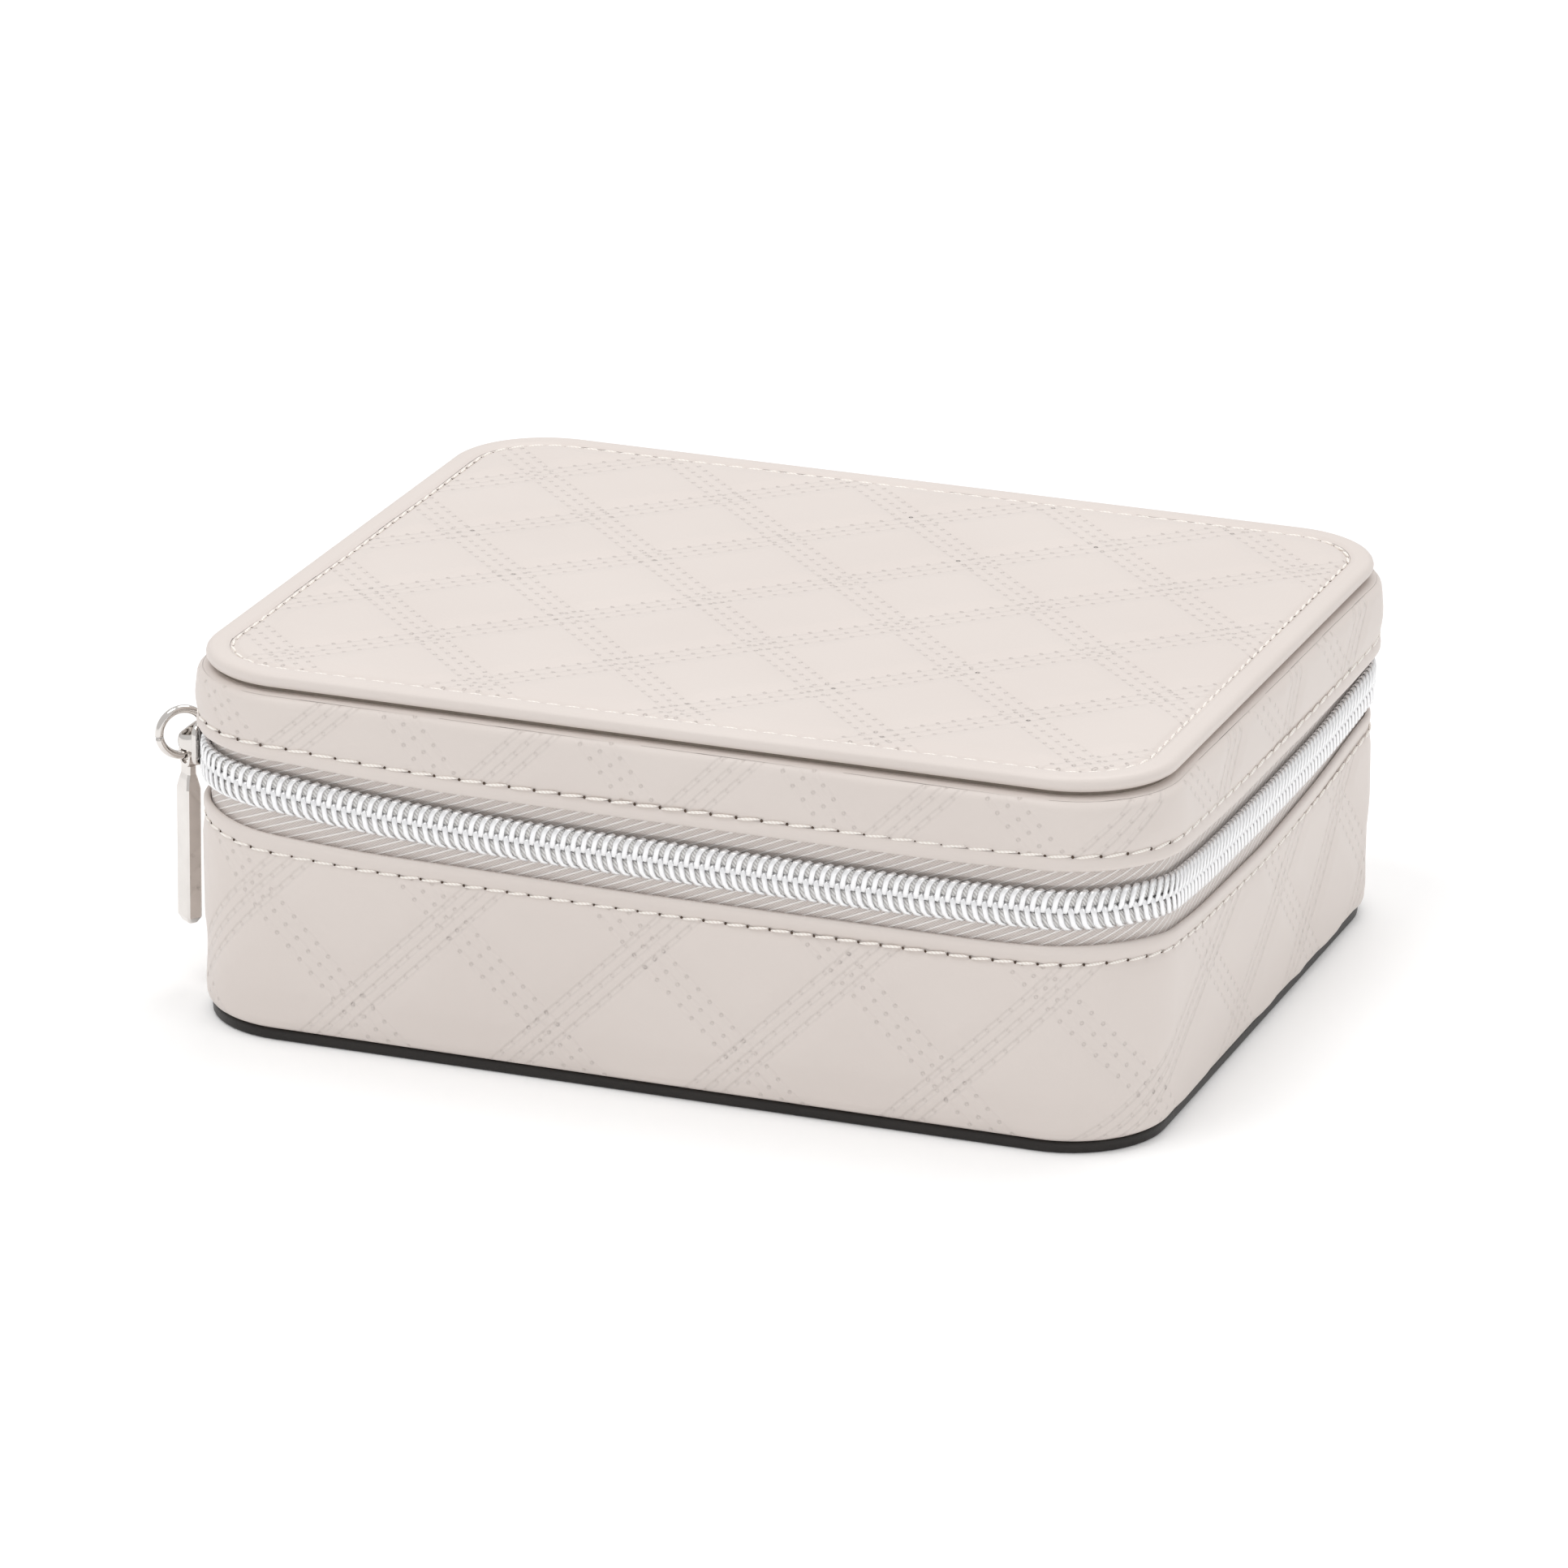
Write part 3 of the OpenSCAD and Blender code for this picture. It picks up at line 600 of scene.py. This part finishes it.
# a thin pale rib every 2.6 mm, which climbs at about 24 degrees, with small knots between
climb = maths(tree, "MULTIPLY_ADD", {1: -2.25}, i0=spot.outputs[1], i2=spot.outputs[0])
rib = maths(tree, "WRAP", {1: 1.3, 2: -1.3}, i0=climb.outputs[0])
rib = maths(tree, "ABSOLUTE", i0=rib.outputs[0])
rib = add(tree, "ShaderNodeMapRange", {"interpolation_type": "SMOOTHSTEP", "From Min": 0.15, "From Max": 0.50,
                                       "To Min": 1, "To Max": 0}, Value=rib.outputs[0])
knots_a = maths(tree, "MULTIPLY", {1: 2 * math.pi / 0.55}, i0=spot.outputs[0])
knots_a = maths(tree, "SINE", i0=knots_a.outputs[0])
knots_b = maths(tree, "MULTIPLY", {1: 2 * math.pi / 0.42}, i0=spot.outputs[1])
knots_b = maths(tree, "SINE", i0=knots_b.outputs[0])
knots_a = maths(tree, "MULTIPLY", i0=knots_a.outputs[0], i1=knots_b.outputs[0])
weave = maths(tree, "MULTIPLY_ADD", {1: 0.22}, i0=knots_a.outputs[0], i2=rib.outputs[0])
shade = add(tree, "ShaderNodeMapRange", {"From Min": -0.25, "From Max": 1.1}, Value=weave.outputs[0])
tone = add(tree, "ShaderNodeMix", {"data_type": "RGBA", 6: linear("#CBC0BA"), 7: linear("#FFFBF8")},
           Factor=shade.outputs[0])
# painted shade: a thin band of tape beside the coil is darkened towards #7E746E, where the coil's shadow falls
coil_shade_band = maths(tree, "ABSOLUTE", i0=spot.outputs[1])
coil_shade_band = add(tree, "ShaderNodeMapRange", {"interpolation_type": "SMOOTHSTEP", "From Min": 3.2, "From Max": 3.5,
                                          "To Min": 0.4, "To Max": 0}, Value=coil_shade_band.outputs[0])
tone = add(tree, "ShaderNodeMix", {"data_type": "RGBA", 7: linear("#7E746E")}, Factor=coil_shade_band.outputs[0],
           i6=tone.outputs[2])
tree.links.new(tone.outputs[2], shader.inputs["Base Color"])
bumped(tree, shader, 0.8, 0.00012, weave.outputs[0])

tape_end = steps_round[4] + turn_x - 50.1


def tape(name, body, node, from_line, from_shift, to_line, to_shift):
    """A strip of tape between two lines round the case, with its own thickness."""
    columns, rows = 640, 12

    def place(column, row):
        s = (column / columns * 2 - 1) * tape_end
        share = row / rows
        z = (from_line(s) + from_shift) * (1 - share) + (to_line(s) + to_shift) * share
        out = -1.32 + 0.28 * np.sin(share * math.pi)
        x, y, _, _ = round_case(s, out)
        return x, y, z

    bm = bent_grid(columns, rows, place)
    layer = bm.loops.layers.uv.new("weave")
    for face in bm.faces:
        for loop in face.loops:
            co = np.array([loop.vert.co]) / mm
            along = flat_coordinates(co)[0]
            loop[layer].uv = (along, co[0, 2] - chain_line(along))
    made = piece(name, bm, tape_cloth, body, [node])
    thick = made.modifiers.new("thickness", "SOLIDIFY")
    thick.thickness = 0.4 * mm
    thick.offset = -1
    return made


tape("lower_tape", "case_body", "lower_zip_tape", body_line, -3.0, chain_line, -0.35)
tape("upper_tape", "lid", "upper_zip_tape", chain_line, 0.35, lid_line, 3.0)


# ---- Coil ----
# The zip's two coils of nylon monofilament, metallised silver. Each turn leans into the gap
# between two turns of the other coil, and a filler cord runs inside with the sewing thread.
def swept(points, facing, width, thick, sides):
    """A flattened rod along points, its flat side turned to `facing`. Sizes in mm, one width or one per point."""
    half = np.broadcast_to(width, len(points)) / 2
    run = np.gradient(points, axis=0)
    run /= np.linalg.norm(run, axis=1)[:, None]
    side = np.cross(run, facing)
    side /= np.linalg.norm(side, axis=1)[:, None]
    flat = np.cross(side, run)

    def place(column, row):
        i = np.round(column).astype(int)
        angle = 2 * math.pi * row[:, None] / sides
        ring = side[i] * np.cos(angle) * half[i][:, None] + flat[i] * np.sin(angle) * thick / 2
        return (points[i] + ring).T

    bm = bent_grid(len(points) - 1, sides, place)
    bmesh.ops.remove_doubles(bm, verts=bm.verts[:], dist=1e-7)
    bmesh.ops.holes_fill(bm, edges=[e for e in bm.edges if e.is_boundary], sides=0)
    return bm


# Metallised nylon: bright and slightly blurred, with a faint draw line along it.
coil_silver, tree, shader = new_material("metallised nylon coil", {"Metallic": 0.45, "Roughness": 0.24})
place = own_place(tree)
draw = add(tree, "ShaderNodeTexNoise", {"Scale": 1500, "Detail": 2}, Vector=place)
toned(tree, shader, "#EDEDEF", "#FFFFFF", draw.outputs["Fac"])
bumped(tree, shader, 0.2, 0.00002, draw.outputs["Fac"])
# Spun polyester cord: soft, pale grey, twisted.
cord_white, tree, shader = new_material("spun polyester cord", {"Roughness": 0.8})
place = own_place(tree)
lay = add(tree, "ShaderNodeTexWave", {"bands_direction": "DIAGONAL", "Scale": 900, "Distortion": 1}, Vector=place)
toned(tree, shader, "#BFBCBA", "#F2F1EF", lay.outputs["Fac"])
bumped(tree, shader, 0.6, 0.00008, lay.outputs["Fac"])

pitch = 1.6
coil_end = steps_round[3] + 15.0
turns = int(2 * coil_end / pitch)


def coil(name, body, node, way):
    """One half of the chain: way is 1 for the upper coil and -1 for the lower."""
    per_turn = 10
    step = np.arange(turns * per_turn) / per_turn
    t = step % 1
    front = t < 0.5
    u = np.where(front, t / 0.5, (t - 0.5) / 0.5)
    # the front strand leaves the middle upright and leans as it nears the tape
    s = (np.floor(step) + np.where(front, 0.86 * u ** 2.3, 0.86 + 0.14 * u)) * pitch - coil_end
    s = s + (pitch / 2 if way < 0 else 0)
    angle = np.where(front, math.pi * (1 - u), -math.pi * u)
    tall = np.sign(np.cos(angle)) * np.abs(np.cos(angle)) ** 0.8
    deep = np.sign(np.sin(angle)) * np.abs(np.sin(angle)) ** 0.7
    out = -0.25 + 0.60 * deep
    z = chain_line(s) + way * (1.24 + 1.66 * tall)
    x, y, nx, ny = round_case(s, out)
    face_out, face_up = np.sin(angle), way * np.cos(angle) * 0.7
    facing = np.column_stack([nx * face_out, ny * face_out, face_up])
    bm = swept(np.column_stack([x, y, z]), facing, 0.95, 0.5, 6)
    piece(name, bm, coil_silver, body, [node])
    s = np.arange(-coil_end, coil_end, 1.2)
    x, y, nx, ny = round_case(s, -0.16)
    bm = swept(np.column_stack([x, y, chain_line(s) + way * 1.6]), np.column_stack([nx, ny, 0 * nx]), 2.1, 0.62, 10)
    piece(name + "_filler_cord", bm, cord_white, body)


coil("upper_coil_turns", "lid", "upper_coil", 1)
coil("lower_coil_turns", "case_body", "lower_coil", -1)

# ---- Metal parts of the zip ----
# Die-cast slider, open wire ring and long bar pull, all polished and nickel plated, with a
# pressed clip that stops each end of the chain.
# Nickel plate: warm, mirror bright, with the faint waves of hand polishing.
nickel, tree, shader = new_material("polished nickel plate", {"Metallic": 1, "Roughness": 0.11})
place = own_place(tree)
buff = add(tree, "ShaderNodeTexNoise", {"Scale": 240, "Detail": 3}, Vector=place)
toned(tree, shader, "#D3CECA", "#E5E1DD", buff.outputs["Fac"])
bumped(tree, shader, 0.12, 0.00004, buff.outputs["Fac"])


def block(bm, low, high, soft):
    """A box between two corners with rounded edges, added to bm. Metres, and soft in mm."""
    size = high - low
    made = bmesh.ops.create_cube(bm, size=1, matrix=Matrix.Translation((low + high) / 2)
                                 @ Matrix.Diagonal((size.x, size.y, size.z, 1)))
    edges = {e for v in made["verts"] for e in v.link_edges}
    bmesh.ops.bevel(bm, geom=list(edges), offset=soft * mm, affect="EDGES", segments=3, profile=0.5, material=-1)


for name, body, node, s_low, s_high, ways in [
    ("bottom_stop_clip", "case_body", "zip_bottom_stop", coil_end - 2.6, coil_end - 0.2, (-1, 1)),
    ("lower_stop_clip", "case_body", "lower_top_stop", -coil_end + 0.2, -coil_end + 2.6, (-1,)),
    ("upper_stop_clip", "lid", "upper_top_stop", -coil_end + 0.2, -coil_end + 2.6, (1,)),
]:
    bm = bmesh.new()
    middle = (s_low + s_high) / 2
    x, y, nx, ny = (float(v) for v in round_case(middle, 0.1))
    for way in ways:
        centre = Vector((x, y, float(chain_line(middle)) + way * 1.75)) * mm
        turned = Matrix(((nx, -ny, 0), (ny, nx, 0), (0, 0, 1))).to_4x4()
        before = set(bm.verts)
        block(bm, Vector((-1.2, -1.2, -1.55)) * mm, Vector((0.75, 1.2, 1.55)) * mm, 0.35)
        bmesh.ops.transform(bm, matrix=Matrix.Translation(centre) @ turned,
                            verts=[v for v in bm.verts if v not in before])
    piece(name, bm, nickel, body, [node], smooth=False)

low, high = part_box("slider_body")
middle = (low + high) / 2
plate_in, plate_out = -76.55 * mm, -77.45 * mm
half_l, half_h = (high.y - low.y) / 2, (high.z - low.z) / 2
bm = bmesh.new()
# outer plate: broad at the mouth, narrower at the tail, then flanges and the inner plate
made = bmesh.ops.create_cube(bm, size=1, matrix=Matrix.Translation(((plate_in + plate_out) / 2, middle.y, middle.z))
                             @ Matrix.Diagonal((plate_in - plate_out, 2 * half_l, 2 * half_h, 1)))
for v in made["verts"]:
    if v.co.y < middle.y:
        v.co.z = middle.z + (v.co.z - middle.z) * 0.8
long_edges = [e for e in bm.edges if abs(e.verts[0].co.x - e.verts[1].co.x) > 1e-5]
bmesh.ops.bevel(bm, geom=long_edges, offset=1.6 * mm, affect="EDGES", segments=5, profile=0.5, material=-1)
rims = [e for e in bm.edges if e.calc_face_angle(0) > 1]
bmesh.ops.bevel(bm, geom=rims, offset=0.28 * mm, affect="EDGES", segments=3, profile=0.5, material=-1)
for way in (-1, 1):
    z_near, z_far = middle.z + way * 3.3 * mm, middle.z + way * 3.95 * mm
    block(bm, Vector((plate_in - 0.2 * mm, middle.y - half_l * 0.72, min(z_near, z_far))),
          Vector((-74.5 * mm, middle.y + half_l * 0.86, max(z_near, z_far))), 0.2)
block(bm, Vector((-73.5, 0, 0)) * mm + Vector((0, middle.y - 1.7 * mm, middle.z - 3.0 * mm)),
      Vector((-72.7, 0, 0)) * mm + Vector((0, middle.y + half_l, middle.z + 3.0 * mm)), 0.25)
block(bm, Vector((plate_in - 0.1 * mm, middle.y + half_l - 3.0 * mm, middle.z - 0.3 * mm)),
      Vector((-73.4 * mm, middle.y + half_l - 0.9 * mm, middle.z + 0.3 * mm)), 0.1)
# bridge: a strip bent over the ring, its feet flared on the plate
path = np.array([(-77.3, -4.25), (-78.6, -4.15), (-79.9, -3.85), (-80.25, -3.2), (-80.3, 0),
                 (-80.25, 3.2), (-79.9, 3.85), (-78.6, 4.15), (-77.3, 4.25)])
length = np.concatenate([[0], np.cumsum(np.hypot(*np.diff(path, axis=0).T))])
fine = np.linspace(0, length[-1], 41)
x, y = np.interp(fine, length, path[:, 0]), np.interp(fine, length, path[:, 1])
kernel = np.ones(5) / 5
x, y = (np.convolve(np.pad(v, 2, mode="edge"), kernel, mode="valid") for v in (x, y))
points = np.column_stack([x, y + middle.y / mm, np.full(41, middle.z / mm)])
run = np.gradient(points, axis=0)
facing = np.column_stack([run[:, 1], -run[:, 0], 0 * x]) * -1
bridge = swept(points, facing, 2.2 + 1.1 * np.abs(np.linspace(-1, 1, 41)) ** 6, 0.8, 16)
bridge_mesh = bpy.data.meshes.new("bridge")
bridge.to_mesh(bridge_mesh)
bridge.free()
bm.from_mesh(bridge_mesh)
bpy.data.meshes.remove(bridge_mesh)
bmesh.ops.recalc_face_normals(bm, faces=bm.faces[:])
piece("slider_casting", bm, nickel, "slider", ["slider_body"])

# the ring: round wire bent to a circle, with a narrow slit
low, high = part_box("jump_ring")
ring_centre = (low + high) / 2
ring_turn = math.radians(42)
wire, ring_mean = 0.65, 3.6
bm = bmesh.new()
bmesh.ops.create_circle(bm, cap_ends=True, segments=20, radius=wire * mm,
                        matrix=Matrix.Translation((ring_mean * mm, 0, 0)) @ Matrix.Rotation(math.pi / 2, 4, "X"))
bmesh.ops.spin(bm, geom=bm.faces[:] + bm.edges[:] + bm.verts[:], cent=(0, 0, 0), axis=(0, 0, 1),
               angle=math.radians(355), steps=72, use_merge=False)
bmesh.ops.transform(bm, verts=bm.verts[:], matrix=Matrix.Translation(ring_centre)
                    @ Matrix.Rotation(ring_turn, 4, "Z") @ Matrix.Rotation(math.pi / 2, 4, "X")
                    @ Matrix.Rotation(math.radians(190), 4, "Z"))
bmesh.ops.recalc_face_normals(bm, faces=bm.faces[:])
piece("wire_ring", bm, nickel, "ring", ["jump_ring"])

# the pull: a square bar with bevelled edges, its neck thinned round an eye for the ring
low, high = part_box("pull_bar")
pull_turn = ring_turn + math.radians(10)
bm = bmesh.new()
# height below the top, thickness and width
bar = [(-28.4, 1.3, 2.3), (-27.3, 2.45, 3.6), (-6.9, 2.45, 3.6), (-5.4, 1.9, 2.9), (-4.6, 1.45, 2.6),
       (-3.0, 1.4, 2.6)]
bmesh.ops.create_grid(bm, x_segments=1, y_segments=1, size=0.5, matrix=Matrix.Translation((0, 0, bar[0][0] * mm))
                      @ Matrix.Diagonal((bar[0][1] * mm, bar[0][2] * mm, 1, 1)))
face = bm.faces[:]
for (z0, thick0, wide0), (z1, thick1, wide1) in zip(bar, bar[1:]):
    lifted = bmesh.ops.extrude_face_region(bm, geom=face)["geom"]
    face = [f for f in lifted if isinstance(f, bmesh.types.BMFace)]
    tops = [v for v in lifted if isinstance(v, bmesh.types.BMVert)]
    bmesh.ops.scale(bm, vec=(thick1 / thick0, wide1 / wide0, 1), verts=tops)
    bmesh.ops.translate(bm, vec=(0, 0, (z1 - z0) * mm), verts=tops)
sharp = [e for e in bm.edges if e.calc_face_angle(0) > 0.35]
bmesh.ops.bevel(bm, geom=sharp, offset=0.30 * mm, affect="EDGES", segments=1, profile=0.5, material=-1)
# eye: a flat washer of metal at the top of the neck
eye = Matrix.Translation((-0.75 * mm, 0, -1.8 * mm)) @ Matrix.Rotation(math.pi / 2, 4, "Y")
outer = bmesh.ops.create_circle(bm, segments=40, radius=1.78 * mm, matrix=eye)
inner = bmesh.ops.create_circle(bm, segments=40, radius=1.2 * mm, matrix=eye)
loops = list({e for v in outer["verts"] + inner["verts"] for e in v.link_edges})
washer = bmesh.ops.bridge_loops(bm, edges=loops)["faces"]
lifted = bmesh.ops.extrude_face_region(bm, geom=washer)["geom"]
bmesh.ops.translate(bm, vec=(1.5 * mm, 0, 0), verts=[v for v in lifted if isinstance(v, bmesh.types.BMVert)])
bmesh.ops.recalc_face_normals(bm, faces=bm.faces[:])
centre_x, centre_y = (low.x + high.x) / 2, (low.y + high.y) / 2
bmesh.ops.transform(bm, verts=bm.verts[:], matrix=Matrix.Translation((centre_x, centre_y, high.z))
                    @ Matrix.Rotation(pull_turn, 4, "Z"))
piece("bar_pull", bm, nickel, "pull", ["pull_bar"], smooth=False)


# ---- Spine ----
# A strip of plain calf behind both leather edges at the back: the lid's hinge.
def spine_place(column, row):
    """A flat strip across the back that bows out a little between the two edges."""
    x = 50 - column / 120 * 100
    z = 25.2 + row / 64 * 24.2
    y = half_y - 1.28 + 0.35 * np.exp(-((z - 37) / 4.5) ** 2) + 0.05 * np.sin(x / 6) * np.exp(-((z - 37) / 4) ** 2)
    return x, y, z


bm = bent_grid(120, 64, spine_place)
spine = piece("spine_strip", bm, plain_leather, None, [])
thick = spine.modifiers.new("thickness", "SOLIDIFY")
thick.thickness = 0.45 * mm
thick.offset = -1
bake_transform(spine)
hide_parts("spine_lower_leaf", "spine_upper_leaf")


# ---- Lining ----
# Suede glued over the board inside, folded over its edges up to the zip tape, with a padded
# collar that stands up inside the zip.
# Suede: no gloss, a short nap that glows at the edges and brushes in patches.
suede, tree, shader = new_material("stone suede", {"Roughness": 0.95, "Specular IOR Level": 0.15, "Sheen Weight": 0.6,
                                                   "Sheen Roughness": 0.4})
place = own_place(tree)
nap = add(tree, "ShaderNodeTexNoise", {"Scale": 2600, "Detail": 3}, Vector=place)
brush = add(tree, "ShaderNodeTexNoise", {"Scale": 55, "Detail": 4, "Distortion": 1.2}, Vector=place)
blend = add(tree, "ShaderNodeMix", {"data_type": "RGBA", 6: linear("#A99B91"), 7: linear("#C6BAB1")},
            Factor=brush.outputs["Fac"])
tree.links.new(blend.outputs[2], shader.inputs["Base Color"])
bumped(tree, shader, 0.7, 0.00012, nap.outputs["Fac"])


def lining(name, body, node, profile, rows, ceiling=None):
    """A band of suede round the inside of the case, from a profile of (out, z)."""
    profile = np.array(profile, float)
    length = np.concatenate([[0], np.cumsum(np.hypot(*np.diff(profile, axis=0).T))])

    def place(column, row):
        s = (column / 420 * 2 - 1) * half_round
        run = row / rows * length[-1]
        x, y, _, _ = round_case(s, np.interp(run, length, profile[:, 0]))
        return x, y, np.interp(run, length, profile[:, 1])

    bm = bent_grid(420, rows, place)
    bmesh.ops.remove_doubles(bm, verts=bm.verts[:], dist=1e-7)
    if ceiling:
        rounded_panel(bm, *ceiling)
    return piece(name, bm, suede, body, [node])


lining("body_lining_suede", "case_body", "body_lining",
       [(-1.9, 30.7), (-1.95, 31.15), (-2.3, 31.3), (-3.6, 31.3), (-4.2, 31.1), (-4.4, 30.6), (-4.4, 4.0)], 60)
lining("collar_suede", "case_body", "inner_collar",
       [(-4.47, 5.05), (-4.5, 39.9), (-4.7, 40.6), (-5.15, 41.0), (-5.5, 40.9), (-5.9, 40.5), (-6.05, 39.8),
        (-6.02, 33.0), (-5.85, 32.5), (-6.02, 32.0), (-6.05, 5.05)], 120)
ceiling_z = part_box("mirror")[1].z / mm
lining("lid_lining_suede", "lid", "lid_lining",
       [(-1.9, 44.0), (-1.95, 43.35), (-2.3, 43.1), (-3.6, 43.1), (-4.2, 43.3), (-4.4, 43.8), (-4.4, 51.6),
        (-4.8, 52.3), (-5.6, 52.58)], 60, ((half_x - 4.5, half_y - 4.5), 11.5, ceiling_z, ceiling_z + 0.55, 0.1))

low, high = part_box("floor_pad")
bm = bmesh.new()
pad_corner = 11.5
rounded_panel(bm, (high.x / mm, high.y / mm), pad_corner, low.z / mm, high.z / mm, 0.5)
floor_pad = piece("floor_pad_suede", bm, suede, "case_body", ["floor_pad"])

# ---- Dividers ----
# Board wrapped in suede, its top edge rounded by the fold.
for node in ("divider_long", "divider_front", "divider_rear", "divider_short"):
    low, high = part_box(node)
    bm = bmesh.new()
    block(bm, low, high, 0.85)
    piece(node + "_suede", bm, suede, "case_body", [node])

# ---- Ring rolls ----
# Eight soft foam bars in suede, side by side. Rings are held in the slits between them.
for number in range(1, 9):
    node = f"ring_roll_{number}"
    low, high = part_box(node)
    size, centre = high - low, (low + high) / 2
    wall_x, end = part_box("ring_roll_4")[0].x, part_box("ring_roll_4")[1].x

    def roll_place(column, row):
        """Wraps a sheet round the roll: flat below, round above, drawn in at its ends."""
        share = column / 60
        angle = 2 * math.pi * row / 40 - math.pi / 2
        half_w, tall = size.y / 2 / mm, size.z / mm
        y = half_w * np.sign(np.cos(angle)) * np.abs(np.cos(angle)) ** 0.55
        z = tall / 2 + tall / 2 * np.sign(np.sin(angle)) * np.abs(np.sin(angle)) ** 0.62
        pinch = np.clip(np.minimum(share, 1 - share) * 14, 0, 1) ** 0.4
        y = y * (0.80 + 0.20 * pinch)
        z = z * (0.90 + 0.10 * pinch) + 0.25 * np.sin(share * 19 + number) * (z / tall) ** 3 * -0.5
        x = wall_x / mm + share * (end - wall_x) / mm
        at_y = y + centre.y / mm
        inner_r = corner - 6.1
        beyond = np.clip(np.abs(at_y) - turn_y, 0, inner_r)
        wall = -(turn_x + np.sqrt(np.maximum(inner_r ** 2 - beyond ** 2, 0)))
        x = np.where(np.abs(at_y) > turn_y, wall + (x - wall_x / mm) * (end / mm - wall) / (end / mm - wall_x / mm), x)
        return x, at_y, z + low.z / mm

    bm = bent_grid(60, 40, roll_place)
    bmesh.ops.remove_doubles(bm, verts=bm.verts[:], dist=1e-6)
    bmesh.ops.holes_fill(bm, edges=[e for e in bm.edges if e.is_boundary], sides=0)
    bmesh.ops.recalc_face_normals(bm, faces=bm.faces[:])
    made = piece(f"ring_roll_{number}_suede", bm, suede, "case_body", [node])

# ---- Mirror ----
# Silvered glass in a frame of plain calf over board, glued to the lid's ceiling.
low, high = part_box("mirror_frame")
glass_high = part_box("mirror")[1]
bm = bmesh.new()
bmesh.ops.create_grid(bm, x_segments=1, y_segments=1, size=1,
                      matrix=Matrix.Translation((0, 0, low.z)) @ Matrix.Diagonal((high.x, high.y, 1, 1)))
bmesh.ops.inset_region(bm, faces=bm.faces[:], thickness=high.x - glass_high.x + 2 * mm, use_boundary=True,
                       use_even_offset=True)
inside = [f for f in bm.faces if f.calc_center_median().xy.length < 0.1 * mm]
bmesh.ops.delete(bm, geom=inside, context="FACES")
lifted = bmesh.ops.extrude_face_region(bm, geom=bm.faces[:])["geom"]
tops = [v for v in lifted if isinstance(v, bmesh.types.BMVert)]
bmesh.ops.translate(bm, vec=(0, 0, high.z - low.z - 1.05 * mm), verts=tops)
rims = [e for e in bm.edges if e.calc_face_angle(0) > 1]
bmesh.ops.bevel(bm, geom=rims, offset=0.3 * mm, affect="EDGES", segments=3, profile=0.5, material=-1)
bmesh.ops.recalc_face_normals(bm, faces=bm.faces[:])
piece("mirror_frame_leather", bm, plain_leather, "lid", ["mirror_frame"])

# Mirror glass: flat and bright, with a trace of silvering mottle.
silvered, tree, shader = new_material("silvered glass", {"Metallic": 1, "Roughness": 0.02})
mottle = add(tree, "ShaderNodeTexNoise", {"Scale": 40}, Vector=own_place(tree))
toned(tree, shader, "#EEF1F2", "#F4F6F7", mottle.outputs["Fac"])
# Grey board: matt, with short paper fibres.
board, tree, shader = new_material("grey board", {"Roughness": 0.9})
place = own_place(tree)
pulp = add(tree, "ShaderNodeTexNoise", {"Scale": 800, "Detail": 5}, Vector=place)
toned(tree, shader, "#7D746A", "#9A9086", pulp.outputs["Fac"])
for node, finish in [("mirror", silvered), ("body_board", board), ("lid_board", board)]:
    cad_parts[node].data.materials.clear()
    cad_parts[node].data.materials.append(finish)
